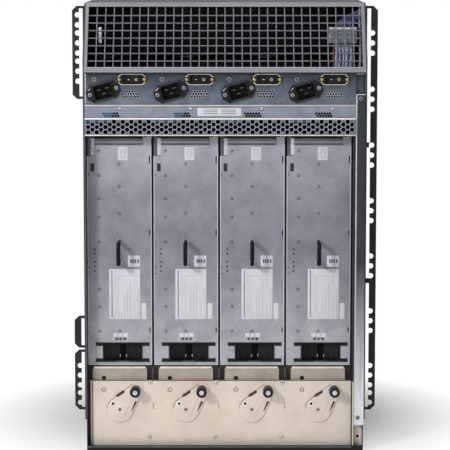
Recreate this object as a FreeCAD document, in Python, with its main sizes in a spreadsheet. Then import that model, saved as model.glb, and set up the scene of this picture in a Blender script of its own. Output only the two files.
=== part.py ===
import FreeCAD, Part
import math
import os
import re
import Sketcher

V = FreeCAD.Vector
DOC = FreeCAD.newDocument("rack_router")
SHEET = DOC.addObject("Spreadsheet::Sheet", "sizes")

# Numbers of like pieces.
MODULES = 4
MESH_COLUMNS = 32
MESH_ROWS = 8
SLOT_COVERS = 14
GRILLE_SLOTS = 8

# Driving sizes in millimetres. X runs to the right as seen from the rear, Y from rear to front, Z up.
SIZES = {
    # chassis shell
    "half_core": 218.2,
    "half_depth": 279.0,
    "height": 705.0,
    "wall": 1.0,
    "skin": 2.3,
    "floor_sheet": 2.5,
    "lip_height": 10.0,
    "skin_low": 52.0,
    "panel_sheet": 2.0,
    # exhaust hood and its mesh
    "hood_high": 105.0,
    "hood_overhang": 13.0,
    "hood_run": 70.0,
    "hood_cap": 22.0,
    "hood_sheet": 2.0,
    "hood_side_rail": 5.0,
    "hood_low_rail": 9.0,
    "hood_top_rail": 7.0,
    "mesh_wire": 1.7,
    "mesh_lap": 3.0,
    # rear panels, from the top down
    "inlet_band": 50.6,
    "strip_band": 20.2,
    "strip_proud": 5.0,
    "comb_band": 27.9,
    "comb_proud": 9.0,
    "comb_pitch": 13.4,
    "comb_hole": 6.6,
    "comb_row": 4.05,
    # right-hand end of the rear
    "channel_wide": 15.2,
    "channel_proud": 6.0,
    "channel_low": 44.0,
    "channel_over": 17.0,
    "channel_inset": 19.0,
    "post_sheet": 2.5,
    "corner_proud": 3.0,
    "corner_play": 0.5,
    "corner_hole": 3.0,
    "corner_hole_z": 22.2,
    # power supply bay
    "station_spare": 0.7,
    "station_shift": -1.35,
    "shelf_low": 130.0,
    "shelf_sheet": 2.9,
    "roof_gap": 0.5,
    "divider_shift": 0.4,
    "divider_sheet": 1.6,
    "divider_inset": 9.0,
    "midplane_y": -8.0,
    "midplane_sheet": 4.0,
    # power supplies
    "gap_left": 2.1,
    "gap_right": 1.3,
    "case_gap": 3.8,
    "module_inset": 30.0,
    "module_play": 0.4,
    "module_rear_gap": 13.0,
    "module_top_gap": 17.0,
    "module_sheet": 1.5,
    "tab_high": 15.2,
    "tab_width": 13.0,
    "notch_width": 11.6,
    "notch_high": 17.3,
    "notch_deep": 6.0,
    "inset_lap": 6.0,
    "inset_under": 8.0,
    "step_width": 4.0,
    "window_drop": 29.3,
    "window_tall": 12.5,
    "window_in": 5.5,
    "window_width": 5.8,
    "roll_radius": 6.0,
    "roll_sink": 0.6,
    "port_half": 25.0,
    "port_margin": 60.0,
    # pull handle
    "handle_rise": 162.7,
    "handle_span": 43.0,
    "handle_width": 6.3,
    "handle_reach": 38.0,
    "handle_bar": 6.5,
    "handle_corner": 9.0,
    # grip pocket
    "grip_rise": 5.4,
    "grip_tall": 31.1,
    "grip_shift": 4.4,
    "grip_half": 31.4,
    "grip_arm_half": 42.5,
    "grip_arm": 5.4,
    "grip_proud": 0.8,
    "grip_deep": 16.0,
    "grip_wall": 2.2,
    "grip_scoop": 60.0,
    # lever panel and its mechanism
    "lower_inset": 16.0,
    "lower_gap": 18.4,
    "lower_edge": 1.0,
    "guide_inset": 27.0,
    "pivot_z": 65.0,
    "lever_round": 20.7,
    "lever_reach": 40.5,
    "lever_tip": 11.0,
    "lever_angle": 51.5,
    "lever_turn": 77.0,
    "lever_sheet": 2.5,
    "lever_gap": 0.5,
    "shaft_radius": 3.0,
    "shaft_play": 0.4,
    "keeper_radius": 8.0,
    "keeper_sheet": 1.5,
    "drive_reach": 13.65,
    "drive_angle": 141.5,
    "drive_radius": 2.5,
    "drive_play": 1.0,
    "drive_over": 0.8,
    "arc_spare": 14.0,
    "pin_radius": 3.5,
    "pin_play": 0.4,
    "pin_short": 0.4,
    "knob_radius": 8.3,
    "knob_reach": 27.6,
    "knob_gap": 1.0,
    "knob_core": 4.15,
    "knob_core_proud": 1.2,
    "plate_half": 43.0,
    "plate_sheet": 2.0,
    "plate_gap": 2.0,
    "plate_play": 0.3,
    "plate_under": 1.0,
    "plate_corner": 4.5,
    "plate_drop": 17.0,
    "post_reach": 30.0,
    "post_rise": 20.0,
    "post_radius": 2.5,
    "post_play": 0.4,
    "post_over": 1.5,
    # power inlets and switches
    "inlet_shift": -22.0,
    "inlet_drop": 30.0,
    "inlet_tilt": 15.0,
    "inlet_half": 26.5,
    "inlet_ear": 6.0,
    "inlet_waist": 17.5,
    "inlet_tall": 14.5,
    "inlet_flange": 3.5,
    "inlet_body_half": 15.6,
    "inlet_body_tall": 12.2,
    "inlet_play": 0.4,
    "inlet_depth": 30.0,
    "inlet_socket_half": 13.8,
    "inlet_socket_tall": 10.4,
    "inlet_socket_deep": 22.0,
    "blade_wide": 7.0,
    "blade_thick": 2.0,
    "blade_long": 17.0,
    "blade_apart": 6.6,
    "blade_high": 3.6,
    "blade_low": 4.0,
    "switch_shift": 22.4,
    "switch_drop": 11.5,
    "bezel_half": 25.0,
    "bezel_tall": 8.8,
    "bezel_nose": 8.5,
    "bezel_sheet": 2.2,
    "rocker_half": 12.0,
    "rocker_tall": 5.8,
    "rocker_play": 1.2,
    "rocker_side": 0.5,
    "rocker_lean": 6.0,
    "rocker_back": 4.0,
    "rocker_front": 4.4,
    "rocker_valley": 3.2,
    # rack brackets
    "bracket_inset": 75.0,
    "bracket_leg": 42.0,
    "bracket_sheet": 2.0,
    "bracket_reach": 20.8,
    "bracket_low": 52.0,
    "bracket_drop": 5.0,
    "bracket_corner": 7.0,
    "bracket_rim": 4.0,
    "first_bar": 210.0,
    "second_bar": 428.0,
    "foot_tab": 98.0,
    "middle_tab_rise": 101.0,
    "middle_tab_tall": 52.0,
    "head_tab": 147.0,
    "gap_start": 4.0,
    "gap_wide": 6.0,
    "slot_reach": 6.5,
    "slot_high": 8.3,
    "rack_over": 3.1,
    "rack_unit": 44.45,
    "rack_first": 6.35,
    "rack_step": 15.875,
    # front of the chassis and its fan trays
    "cover_inset": 4.0,
    "cover_margin": 8.2,
    "cover_gap": 0.6,
    "cover_sheet": 2.0,
    "guide_drop": 46.0,
    "guide_sheet": 3.0,
    "grille_gap": 5.0,
    "grille_high": 50.0,
    "grille_rim": 8.0,
    "plenum_gap": 3.5,
    "tray_margin": 13.2,
    "tray_face_margin": 4.2,
    "tray_face_over": 2.5,
    "tray_sheet": 1.5,
    "tray_proud": 2.0,
    "tray_gap": 28.0,
    "tray_play": 0.5,
    "tray_drop": 4.0,
    "tray_lift": 0.7,
    "lower_tray_high": 53.8,
    "pull_reach": 11.0,
    "pull_half": 45.0,
    "pull_bar": 3.0,
    "pull_tall": 4.0,
    # connector and wires seen through the mesh
    "block_margin": 11.2,
    "block_wide": 44.0,
    "block_lift": 42.0,
    "block_tall": 25.0,
    "block_proud": 3.0,
    "block_deep": 30.0,
    "wires_in": 7.0,
    "wires_out": 6.0,
    "wires_set": 6.0,
    "wires_thick": 14.0,
}

# Places and sizes that follow from the driving ones.
PLACES = {
    "rear_edge": "-half_depth",
    "front_edge": "half_depth",
    "hood_lip_z": "height - hood_high",
    "hood_lip_y": "rear_edge - hood_overhang",
    "hood_top_y": "hood_lip_y + hood_run",
    "hood_back_y": "hood_top_y + hood_cap",
    "strip_top": "hood_lip_z - inlet_band",
    "strip_face": "rear_edge - strip_proud",
    "comb_top": "strip_top - strip_band",
    "comb_low": "comb_top - comb_band",
    "comb_face": "rear_edge - comb_proud",
    "post_right": "half_core - channel_wide",
    "post_left": "post_right - post_sheet",
    "channel_face": "rear_edge - channel_proud",
    "channel_top": "strip_top + channel_over",
    "channel_back_y": "rear_edge + channel_inset",
    "module_pitch": "(post_left + half_core - wall + station_spare) / %d" % MODULES,
    "module_middle": "(post_left - half_core + wall) / 2 + station_shift",
    "module_left": "module_pitch / 2 - gap_left",
    "module_right": "module_pitch / 2 - gap_right",
    "module_case_half": "module_pitch / 2 - case_gap",
    "divider_at": "module_pitch / 2 + divider_shift",
    "shelf_top": "shelf_low + shelf_sheet",
    "bay_top": "comb_low + roof_gap",
    "module_face": "rear_edge + module_inset",
    "module_low": "shelf_top + module_play",
    "module_top": "comb_low - module_top_gap",
    "module_tab": "module_top + tab_high",
    "module_end": "midplane_y - module_rear_gap",
    "notch_low": "module_top - notch_high",
    "window_high": "module_top - window_drop",
    "window_low": "window_high - window_tall",
    "handle_low": "module_low + handle_rise",
    "handle_high": "handle_low + handle_span",
    "grip_low": "module_low + grip_rise",
    "grip_high": "grip_low + grip_tall",
    "lower_face": "rear_edge + lower_inset",
    "lower_top": "shelf_low - lower_gap",
    "lower_right": "post_left - lower_edge",
    "guide_face": "rear_edge + guide_inset",
    "knob_end": "lower_face - knob_reach",
    "plate_face": "guide_face - plate_gap - plate_sheet",
    "plate_top": "shelf_top - plate_play",
    "plate_low": "pivot_z - plate_under",
    "post_z": "pivot_z + post_rise",
    "inlet_z": "hood_lip_z - inlet_drop",
    "switch_z": "hood_lip_z - switch_drop",
    "bracket_face": "rear_edge + bracket_inset",
    "bracket_edge": "half_core + skin + bracket_reach",
    "bracket_high": "height - bracket_drop",
    "first_bar_z": "bracket_low + first_bar",
    "second_bar_z": "bracket_low + second_bar",
    "foot_tab_high": "bracket_low + foot_tab",
    "middle_tab_low": "bracket_low + middle_tab_rise",
    "middle_tab_high": "middle_tab_low + middle_tab_tall",
    "head_tab_low": "bracket_high - head_tab",
    "gap_in": "half_core + skin + gap_start",
    "gap_out": "gap_in + gap_wide",
    "slot_end": "gap_out + slot_reach",
    "rack_top": "height + rack_over",
    "shelf_front": "front_edge - cover_inset",
    "lower_tray_low": "floor_sheet + tray_lift",
    "lower_tray_top": "lower_tray_low + lower_tray_high",
    "grille_low": "lower_tray_top + grille_gap",
    "guide_low": "grille_low + grille_high",
    "guide_high": "hood_lip_z - guide_drop",
    "upper_tray_low": "guide_high + guide_sheet + tray_play",
    "upper_tray_top": "hood_lip_z - tray_drop",
    "cover_pitch": "(half_core - cover_margin) * 2 / %d" % SLOT_COVERS,
    "tray_half": "half_core - tray_margin",
    "tray_face_half": "half_core - tray_face_margin",
    "tray_front": "front_edge + tray_proud",
    "tray_back": "midplane_y + tray_gap",
    "tray_pull": "tray_front + pull_reach",
    "block_right": "half_core - block_margin",
    "block_left": "block_right - block_wide",
    "block_low": "hood_lip_z + block_lift",
    "block_high": "block_low + block_tall",
    "block_face": "hood_top_y - block_proud",
    "wires_left": "block_left + wires_in",
    "wires_right": "block_right - wires_out",
}

for row, (alias, value) in enumerate(SIZES.items(), start=1):
    SHEET.set("A%d" % row, alias)
    SHEET.set("B%d" % row, str(value))
    SHEET.setAlias("B%d" % row, alias)
DOC.recompute()

PARTS = []


def size(alias):
    """Number held by a cell of the sheet, or the sum of the cells that a place is made of."""
    if alias in SIZES:
        return float(SHEET.get(alias))
    terms = re.findall(r"(-?)\s*([a-z_]+)", PLACES[alias])
    return sum(-size(word) if sign else size(word) for sign, word in terms)


def link(text):
    """Expression text with each size pointed at its cell and each place written out."""
    def point(found):
        word = found.group(0)
        if word in PLACES:
            return "(%s)" % link(PLACES[word])
        return "sizes." + word if word in SIZES else word
    return re.sub(r"[a-z][a-z_0-9]*", point, str(text))


def part(obj, label):
    """Name a finished sub-part and list it for writing."""
    obj.Label = label
    PARTS.append(obj)
    return obj


def box(name, x, y, z):
    """Block between a low and a high expression along each axis."""
    obj = DOC.addObject("Part::Box", name)
    for prop, axis, (low, high) in (("Length", "x", x), ("Width", "y", y), ("Height", "z", z)):
        obj.setExpression(prop, link("(%s) - (%s)" % (high, low)))
        obj.setExpression("Placement.Base." + axis, link(low))
    return obj


def rod(name, x, y, z, radius, sides, hole=False):
    """Bar along Y between two expressions, centred at x and z, round to a number of flats.

    A bar has its corners on the radius; a hole has its flats on it, so that a bar turns freely inside.
    """
    obj = DOC.addObject("Part::Prism", name)
    obj.Polygon = sides
    upright = FreeCAD.Rotation(V(1, 0, 0), -90)
    obj.Placement = FreeCAD.Placement(V(), FreeCAD.Rotation(V(0, 1, 0), 180 / sides).multiply(upright))
    grow = 1 / math.cos(math.pi / sides) if hole else 1
    obj.setExpression("Circumradius", link("(%s) * %s" % (radius, grow)))
    obj.setExpression("Height", link("(%s) - (%s)" % (y[1], y[0])))
    obj.setExpression("Placement.Base.x", link(x))
    obj.setExpression("Placement.Base.y", link(y[0]))
    obj.setExpression("Placement.Base.z", link(z))
    return obj


def fuse(name, pieces):
    """One solid from pieces that meet."""
    obj = DOC.addObject("Part::MultiFuse", name)
    obj.Shapes = pieces
    obj.Refine = True
    return obj


def group(name, pieces):
    """Separate solids kept together in one sub-part."""
    obj = DOC.addObject("Part::Compound", name)
    obj.Links = pieces
    return obj


def cut(name, base, tools):
    """The base with every tool taken out of it."""
    obj = DOC.addObject("Part::Cut", name)
    obj.Base = base
    obj.Tool = tools[0] if len(tools) == 1 else fuse(name + "_tools", tools)
    obj.Refine = True
    return obj


def sketch_on(body, name, role, offset):
    """Sketch on an origin plane of the body, moved along the plane's normal."""
    plane = [item for item in body.Origin.OriginFeatures if item.Role == role][0]
    sketch = body.newObject("Sketcher::SketchObject", name)
    sketch.AttachmentSupport = [(plane, "")]
    sketch.MapMode = "FlatFace"
    sketch.setExpression("AttachmentOffset.Base.z", link(offset))
    return sketch


def tie(sketch, geo, pos, x, y):
    """Tie one point of a sketch to a pair of expressions."""
    for kind, text in (("DistanceX", x), ("DistanceY", y)):
        index = sketch.addConstraint(Sketcher.Constraint(kind, -1, 1, geo, pos, 1.0))
        sketch.setExpression("Constraints[%d]" % index, link(text))


def polygon(sketch, points):
    """Closed outline whose corners are pairs of expressions."""
    count = len(points)
    ring = [V(math.cos(2 * math.pi * i / count), math.sin(2 * math.pi * i / count), 0) for i in range(count)]
    first = sketch.GeometryCount
    for i in range(count):
        sketch.addGeometry(Part.LineSegment(ring[i], ring[(i + 1) % count]), False)
    for i in range(count):
        after = first + (i + 1) % count
        sketch.addConstraint(Sketcher.Constraint("Coincident", first + i, 2, after, 1))
    for i, (x, y) in enumerate(points):
        tie(sketch, first + i, 1, x, y)


def pad(body, sketch, length):
    """Push a sketch out along its normal."""
    obj = body.newObject("PartDesign::Pad", sketch.Name + "_pad")
    obj.Profile = sketch
    obj.setExpression("Length", link(length))
    return obj


def plate(name, role, points, low, thick):
    """Flat body cut to an outline on an origin plane."""
    body = DOC.addObject("PartDesign::Body", name)
    sketch = sketch_on(body, name + "_outline", role, low)
    polygon(sketch, points)
    pad(body, sketch, thick)
    return body


def rect(x, y):
    """Corners of a rectangle from two pairs of expressions."""
    return [(x[0], y[0]), (x[1], y[0]), (x[1], y[1]), (x[0], y[1])]


def module_x(index):
    """Middle of one power supply station."""
    return "module_middle + (%s) * module_pitch" % (index - (MODULES - 1) / 2)


HALF_IN = "half_core - wall"
SKIN_OUT = "half_core + skin"
HOOD_RUN = "(hood_top_y - hood_lip_y)"
HOOD_RISE = "(height - hood_lip_z)"
HOOD_SLANT = "sqrt(%s * %s + %s * %s)" % (HOOD_RUN, HOOD_RUN, HOOD_RISE, HOOD_RISE)
PANEL_BACK = "rear_edge + panel_sheet"


def hood_y(z, inner=False):
    """Place of the hood's slope at a height, on its outer or inner face."""
    text = "hood_lip_y + ((%s) - hood_lip_z) * %s / %s" % (z, HOOD_RUN, HOOD_RISE)
    return text + " + hood_sheet * %s / %s" % (HOOD_SLANT, HOOD_RISE) if inner else text


def build_shell():
    """Floor, inner walls, base lip, roof and the two outer skins."""
    across = ("-half_core", "half_core")
    along = ("rear_edge", "front_edge")
    pieces = [
        box("wrap_floor", across, along, ("0", "floor_sheet")),
        box("wrap_lip", across, ("rear_edge", PANEL_BACK), ("0", "lip_height")),
    ]
    for side, span in (("left", ("-half_core", "wall - half_core")), ("right", (HALF_IN, "half_core"))):
        pieces.append(box("wrap_low_" + side, span, along, ("0", "hood_lip_z")))
        top = ("hood_lip_z", "height - panel_sheet")
        pieces.append(box("wrap_high_" + side, span, ("hood_back_y", "front_edge"), top))
    part(fuse("wrap", pieces), "chassis_wrap")
    roof = box("roof", across, ("hood_back_y", "front_edge"), ("height - panel_sheet", "height"))
    part(roof, "roof_panel")
    corner_z = "hood_lip_z + (rear_edge - hood_lip_y) * %s / %s" % (HOOD_RISE, HOOD_RUN)
    outline = [
        ("rear_edge", "skin_low"),
        ("front_edge", "skin_low"),
        ("front_edge", "height"),
        ("hood_top_y", "height"),
        ("rear_edge", corner_z),
    ]
    part(plate("skin_left", "YZ_Plane", outline, "-half_core - skin", "skin"), "side_panel_left")
    part(plate("skin_right", "YZ_Plane", outline, "half_core", "skin"), "side_panel_right")


def build_hood():
    """Sloped hood with cheeks, and the wire mesh behind its window."""
    flange = "hood_lip_z + hood_sheet"
    under = "height - hood_sheet"
    profile = [
        ("hood_lip_y", "hood_lip_z"),
        ("hood_top_y", "height"),
        ("hood_back_y", "height"),
        ("hood_back_y", under),
        (hood_y(under, True), under),
        (hood_y(flange, True), flange),
        (PANEL_BACK, flange),
        (PANEL_BACK, "hood_lip_z"),
    ]
    sheet = plate("hood_sheet_body", "YZ_Plane", profile, "-half_core", "2 * half_core")
    cheek = [
        (hood_y(flange, True), flange),
        (hood_y(under, True), under),
        ("hood_back_y", under),
        ("hood_back_y", "hood_lip_z"),
        (PANEL_BACK, "hood_lip_z"),
        (PANEL_BACK, flange),
    ]
    cheeks = [
        plate("hood_cheek_left", "YZ_Plane", cheek, "-half_core", "wall"),
        plate("hood_cheek_right", "YZ_Plane", cheek, HALF_IN, "wall"),
    ]
    low = "hood_lip_z + hood_low_rail * %s / %s" % (HOOD_RISE, HOOD_SLANT)
    high = "height - hood_top_rail * %s / %s" % (HOOD_RISE, HOOD_SLANT)
    span = ("hood_side_rail - half_core", "half_core - hood_side_rail")
    window = box("hood_window", span, ("hood_lip_y - 1", "hood_back_y - 1"), (low, high))
    part(cut("hood", fuse("hood_blank", [sheet] + cheeks), [window]), "exhaust_hood")
    part(build_mesh(), "exhaust_mesh")


def build_mesh():
    """Two layers of square wire on the inner face of the slope."""
    run = size("hood_top_y") - size("hood_lip_y")
    rise = size("height") - size("hood_lip_z")
    slant = math.hypot(run, rise)
    wire = size("mesh_wire")
    lap = size("mesh_lap")
    half = size("half_core") - size("hood_side_rail")
    low = size("hood_low_rail")
    high = slant - size("hood_top_rail")
    bars = []
    for i in range(1, MESH_COLUMNS):
        x = -half + 2 * half * i / MESH_COLUMNS
        bars.append(Part.makeBox(wire, wire, high - low + 2 * lap, V(x - wire / 2, 0, low - lap)))
    for i in range(1, MESH_ROWS):
        s = low + (high - low) * i / MESH_ROWS
        bars.append(Part.makeBox(2 * half + 2 * lap, wire, wire, V(-half - lap, wire, s - wire / 2)))
    mesh = DOC.addObject("Part::Feature", "mesh")
    mesh.Shape = Part.makeCompound(bars)
    lean = math.degrees(math.atan2(run, rise))
    inward = V(0, rise / slant, -run / slant) * size("hood_sheet")
    foot = V(0, size("hood_lip_y"), size("hood_lip_z")) + inward
    mesh.Placement = FreeCAD.Placement(foot, FreeCAD.Rotation(V(1, 0, 0), -lean))
    return mesh


def build_rear_panels():
    """Inlet panel, strip panel and honeycomb panel across the rear."""
    span = ("wall - half_core", "post_right")
    blank = box("inlet_blank", span, ("rear_edge", PANEL_BACK), ("strip_top", "hood_lip_z"))
    tools = []
    for i in range(MODULES):
        x = module_x(i)
        hole = box("inlet_hole_%d" % i, ("0", "1"), ("rear_edge - 1", PANEL_BACK + " + 1"), ("0", "1"))
        hole.setExpression("Length", link("2 * (inlet_body_half + inlet_play)"))
        hole.setExpression("Height", link("2 * (inlet_body_tall + inlet_play)"))
        turn = "inlet_tilt"
        wide = "(inlet_body_half + inlet_play)"
        tall = "(inlet_body_tall + inlet_play)"
        cos = "cos(%s * 1 deg)" % turn
        sin = "sin(%s * 1 deg)" % turn
        base_x = "%s + inlet_shift - %s * %s + %s * %s" % (x, wide, cos, tall, sin)
        base_z = "inlet_z - %s * %s - %s * %s" % (wide, sin, tall, cos)
        hole.setExpression("Placement.Base.x", link(base_x))
        hole.setExpression("Placement.Base.z", link(base_z))
        hole.setExpression("Placement.Rotation.Axis.x", "0")
        hole.setExpression("Placement.Rotation.Axis.y", "-1")
        hole.setExpression("Placement.Rotation.Axis.z", "0")
        hole.setExpression("Placement.Rotation.Angle", link("inlet_tilt * 1 deg"))
        tools.append(hole)
        reach = "rocker_half + rocker_play"
        tools.append(box(
            "switch_hole_%d" % i,
            ("%s + switch_shift - (%s)" % (x, reach), "%s + switch_shift + %s" % (x, reach)),
            ("rear_edge - 1", PANEL_BACK + " + 1"),
            ("switch_z - rocker_tall - rocker_side", "switch_z + rocker_tall + rocker_side"),
        ))
    part(cut("inlet", blank, tools), "inlet_panel")
    strip = fuse("strip", [
        box("strip_front", span, ("strip_face", "strip_face + panel_sheet"), ("comb_top", "strip_top")),
        box("strip_flange", span, ("strip_face", PANEL_BACK), ("strip_top - panel_sheet", "strip_top")),
    ])
    part(strip, "strip_panel")
    part(build_honeycomb(), "honeycomb_panel")


def build_honeycomb():
    """Folded panel with staggered rows of hexagonal holes."""
    left = -size("half_core")
    right = size("post_right")
    low = size("comb_low")
    high = size("comb_top")
    face = size("comb_face")
    sheet = size("panel_sheet")
    back = size("rear_edge") + sheet
    pitch = size("comb_pitch")
    columns = int((right - left - 2 * sheet) / pitch)
    radius = size("comb_hole") / math.sqrt(3)
    middle = (low + high) / 2
    start = (left + right) / 2 - (columns - 0.5) * pitch / 2
    corners = ((left, low), (right, low), (right, high), (left, high), (left, low))
    wires = [Part.makePolygon([V(x, face, z) for x, z in corners])]
    for row in range(-2, 3):
        z = middle + row * size("comb_row")
        for column in range(columns):
            x = start + column * pitch + (row % 2) * pitch / 2
            turns = [math.pi * k / 3 for k in range(7)]
            ring = [V(x + radius * math.cos(a), face, z + radius * math.sin(a)) for a in turns]
            wires.append(Part.makePolygon(ring))
    front = Part.makeFace(wires, "Part::FaceMakerBullseye").extrude(V(0, sheet, 0))
    depth = back - face - sheet
    inner = left + size("wall")
    folds = [
        Part.makeBox(right - inner, depth, sheet, V(inner, face + sheet, low)),
        Part.makeBox(right - inner, depth, sheet, V(inner, face + sheet, high - sheet)),
    ]
    edge = size("rear_edge") - face - sheet
    folds.append(Part.makeBox(size("wall"), edge, high - low, V(left, face + sheet, low)))
    comb = DOC.addObject("Part::Feature", "honeycomb")
    comb.Shape = front.multiFuse(folds).removeSplitter()
    return comb


def build_bay():
    """Power bay sheets, right-hand post, channel cover and corner strip."""
    deep = ("guide_face", "midplane_y")
    across = ("wall - half_core", "post_left")
    tall = ("floor_sheet", "hood_lip_z")
    sheets = [
        box("bay_shelf", across, deep, ("shelf_low", "shelf_top")),
        box("bay_roof", across, (PANEL_BACK, "midplane_y"), ("bay_top", "bay_top + panel_sheet")),
        box("bay_post", ("post_left", "post_right"), (PANEL_BACK, "midplane_y"), tall),
        box("bay_back", ("post_right", HALF_IN), ("channel_back_y - panel_sheet", "channel_back_y"), tall),
    ]
    for i in range(MODULES - 1):
        x = module_x(i) + " + divider_at"
        span = (x + " - divider_sheet / 2", x + " + divider_sheet / 2")
        depth = ("module_face + divider_inset", "midplane_y")
        sheets.append(box("divider_%d" % i, span, depth, ("shelf_top", "bay_top")))
    part(group("bay", sheets), "power_bay")
    height = ("channel_low", "channel_top")
    front = ("channel_face", "channel_face + panel_sheet")
    channel = fuse("channel", [
        box("channel_front", ("post_right", "half_core"), front, height),
        box("channel_leg", ("post_right", "post_right + panel_sheet"),
            ("channel_face", "channel_back_y - panel_sheet"), height),
        box("channel_side", (HALF_IN, "half_core"), ("channel_face", "rear_edge"), height),
    ])
    part(channel, "side_channel")
    front = "lower_face - corner_proud"
    strip = box("corner", ("post_right + corner_play", HALF_IN), (front, "channel_back_y - panel_sheet"),
                ("floor_sheet", "channel_low"))
    middle = "(post_right + %s) / 2" % HALF_IN
    through = (front + " - 1", "channel_back_y")
    hole = rod("corner_bore", middle, through, "corner_hole_z", "corner_hole", 8, True)
    part(cut("corner_cut", strip, [hole]), "corner_strip")


def build_inside():
    """Midplane, inner shelves and the plainly finished front."""
    across = ("wall - half_core", HALF_IN)
    middle = ("midplane_y", "midplane_y + midplane_sheet")
    part(box("board", across, middle, ("floor_sheet", "hood_lip_z")), "midplane")
    front = ("midplane_y + midplane_sheet", "shelf_front")
    part(group("shelves", [
        box("shelf_low_guide", across, front, ("guide_low", "guide_low + guide_sheet")),
        box("shelf_high_guide", across, front, ("guide_high", "guide_high + guide_sheet")),
        box("plenum_floor", across, (PANEL_BACK, "midplane_y + midplane_sheet"),
            ("hood_lip_z", "hood_lip_z + panel_sheet")),
    ]), "inner_shelves")
    face = ("shelf_front", "shelf_front + cover_sheet")
    covers = []
    for i in range(SLOT_COVERS):
        x = "(%s) * cover_pitch" % (i - SLOT_COVERS / 2)
        span = (x + " + cover_gap / 2", x + " + cover_pitch - cover_gap / 2")
        covers.append(box("cover_%d" % i, span, face, ("guide_low", "guide_high + guide_sheet")))
    part(group("covers", covers), "slot_covers")
    blank = box("grille_blank", across, face, ("grille_low", "guide_low"))
    slots = []
    for i in range(GRILLE_SLOTS):
        x = "(%s) * 2 * tray_half" % ((i + 0.5) / GRILLE_SLOTS - 0.5)
        reach = "%s * tray_half" % (0.8 / GRILLE_SLOTS)
        slots.append(box(
            "grille_slot_%d" % i,
            ("%s - %s" % (x, reach), "%s + %s" % (x, reach)),
            ("shelf_front - 1", "shelf_front + cover_sheet + 1"),
            ("grille_low + grille_rim", "guide_low - grille_rim"),
        ))
    part(cut("grille", blank, slots), "intake_grille")
    cover = box("plenum_front", across, face, ("upper_tray_top + plenum_gap", "height - panel_sheet"))
    part(cover, "plenum_cover")
    build_tray("upper", "upper_tray_low", "upper_tray_top")
    build_tray("lower", "lower_tray_low", "lower_tray_top")


def build_tray(name, low, top):
    """Closed fan tray with a front plate and a pull bar."""
    deep = ("tray_back", "tray_front - panel_sheet")
    outer = box(name + "_pan", ("-tray_half", "tray_half"), deep, (low, top))
    inner = box(name + "_hollow", ("tray_sheet - tray_half", "tray_half - tray_sheet"),
                ("tray_back + tray_sheet", "tray_front - panel_sheet - tray_sheet"),
                (low + " + tray_sheet", top + " - tray_sheet"))
    pan = cut(name + "_pan_cut", outer, [inner])
    face = box(name + "_face", ("-tray_face_half", "tray_face_half"),
               ("tray_front - panel_sheet", "tray_front"), (low, top + " + tray_face_over"))
    middle = "(%s + %s) / 2" % (low, top)
    bar = (middle + " - pull_tall", middle + " + pull_tall")
    pieces = [pan, face]
    pieces.append(box(name + "_bar", ("-pull_half", "pull_half"), ("tray_pull - pull_bar", "tray_pull"), bar))
    for side, x in (("left", "-pull_half"), ("right", "pull_half - pull_bar")):
        pieces.append(box(name + "_bar_" + side, (x, x + " + pull_bar"), ("tray_front", "tray_pull"), bar))
    part(fuse(name + "_tray", pieces), name + "_fan_tray")


def build_module(index):
    """One power supply: case with its faceplate, pull handle and grip pocket."""
    tag = "_%d" % (index + 1)
    x = module_x(index)
    grip = x + " + grip_shift"
    left = x + " - module_left"
    right = x + " + module_right"
    back = "module_face + panel_sheet"
    face_y = ("module_face", back)
    case_x = (x + " - module_case_half", x + " + module_case_half")
    case_y = (back, "module_end")
    case = cut("case" + tag, box("case_block" + tag, case_x, case_y, ("module_low", "module_top")), [
        box("case_hollow" + tag, (case_x[0] + " + module_sheet", case_x[1] + " - module_sheet"),
            (back + " - 1", case_y[1] + " - module_sheet"),
            ("module_low + module_sheet", "module_top - module_sheet")),
        box("case_port" + tag, (x + " - port_half", x + " + port_half"),
            ("module_end - 2 * module_sheet", "module_end + 1"),
            ("module_low + port_margin", "module_top - port_margin")),
    ])
    face = cut("face" + tag, box("face_blank" + tag, (left, right), face_y, ("module_low", "module_top")), [
        box("face_notch" + tag, (left + " - 1", left + " + notch_width"),
            ("module_face - 1", back + " + 1"), ("notch_low", "module_top + 1")),
        box("face_window" + tag, (left + " + window_in", left + " + window_in + window_width"),
            ("module_face - 1", back + " + 1"), ("window_low", "window_high")),
        box("face_grip" + tag, (grip + " - grip_half", grip + " + grip_half"),
            ("module_face - 1", back + " + 1"), ("grip_low", "grip_high")),
        box("face_arm_low" + tag, (grip + " - grip_arm_half", grip + " + grip_arm_half"),
            ("module_face - 1", back + " + 1"), ("grip_low", "grip_low + grip_arm")),
        box("face_arm_high" + tag, (grip + " - grip_arm_half", grip + " + grip_arm_half"),
            ("module_face - 1", back + " + 1"), ("grip_high - grip_arm", "grip_high")),
    ])
    tab = box("face_tab" + tag, (right + " - tab_width", right), face_y, ("module_top", "module_tab"))
    inset_z = ("window_low - inset_under", "module_top")
    inset = box("face_inset" + tag, (left + " + module_sheet", left + " + notch_width + inset_lap"),
                ("module_face + notch_deep", "module_face + notch_deep + module_sheet"), inset_z)
    step = box("face_step" + tag, (left + " + notch_width", left + " + notch_width + step_width"),
               (back, "module_face + notch_deep"), inset_z)
    hem = DOC.addObject("Part::Prism", "face_hem" + tag)
    hem.Polygon = 8
    hem.Placement = FreeCAD.Placement(V(), FreeCAD.Rotation(V(0, 1, 0), 90))
    hem.setExpression("Circumradius", link("roll_radius"))
    hem.setExpression("Height", link("module_right + module_left - notch_width - tab_width"))
    hem.setExpression("Placement.Base.x", link(left + " + notch_width"))
    hem.setExpression("Placement.Base.y", link("module_face + panel_sheet / 2 + roll_radius"))
    hem.setExpression("Placement.Base.z", link("module_top + roll_radius - roll_sink"))
    part(fuse("supply" + tag, [case, face, tab, inset, step, hem]), "ps_case" + tag)
    part(build_handle(tag, x), "ps_handle" + tag)
    part(build_grip(tag, x), "ps_grip" + tag)


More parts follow.
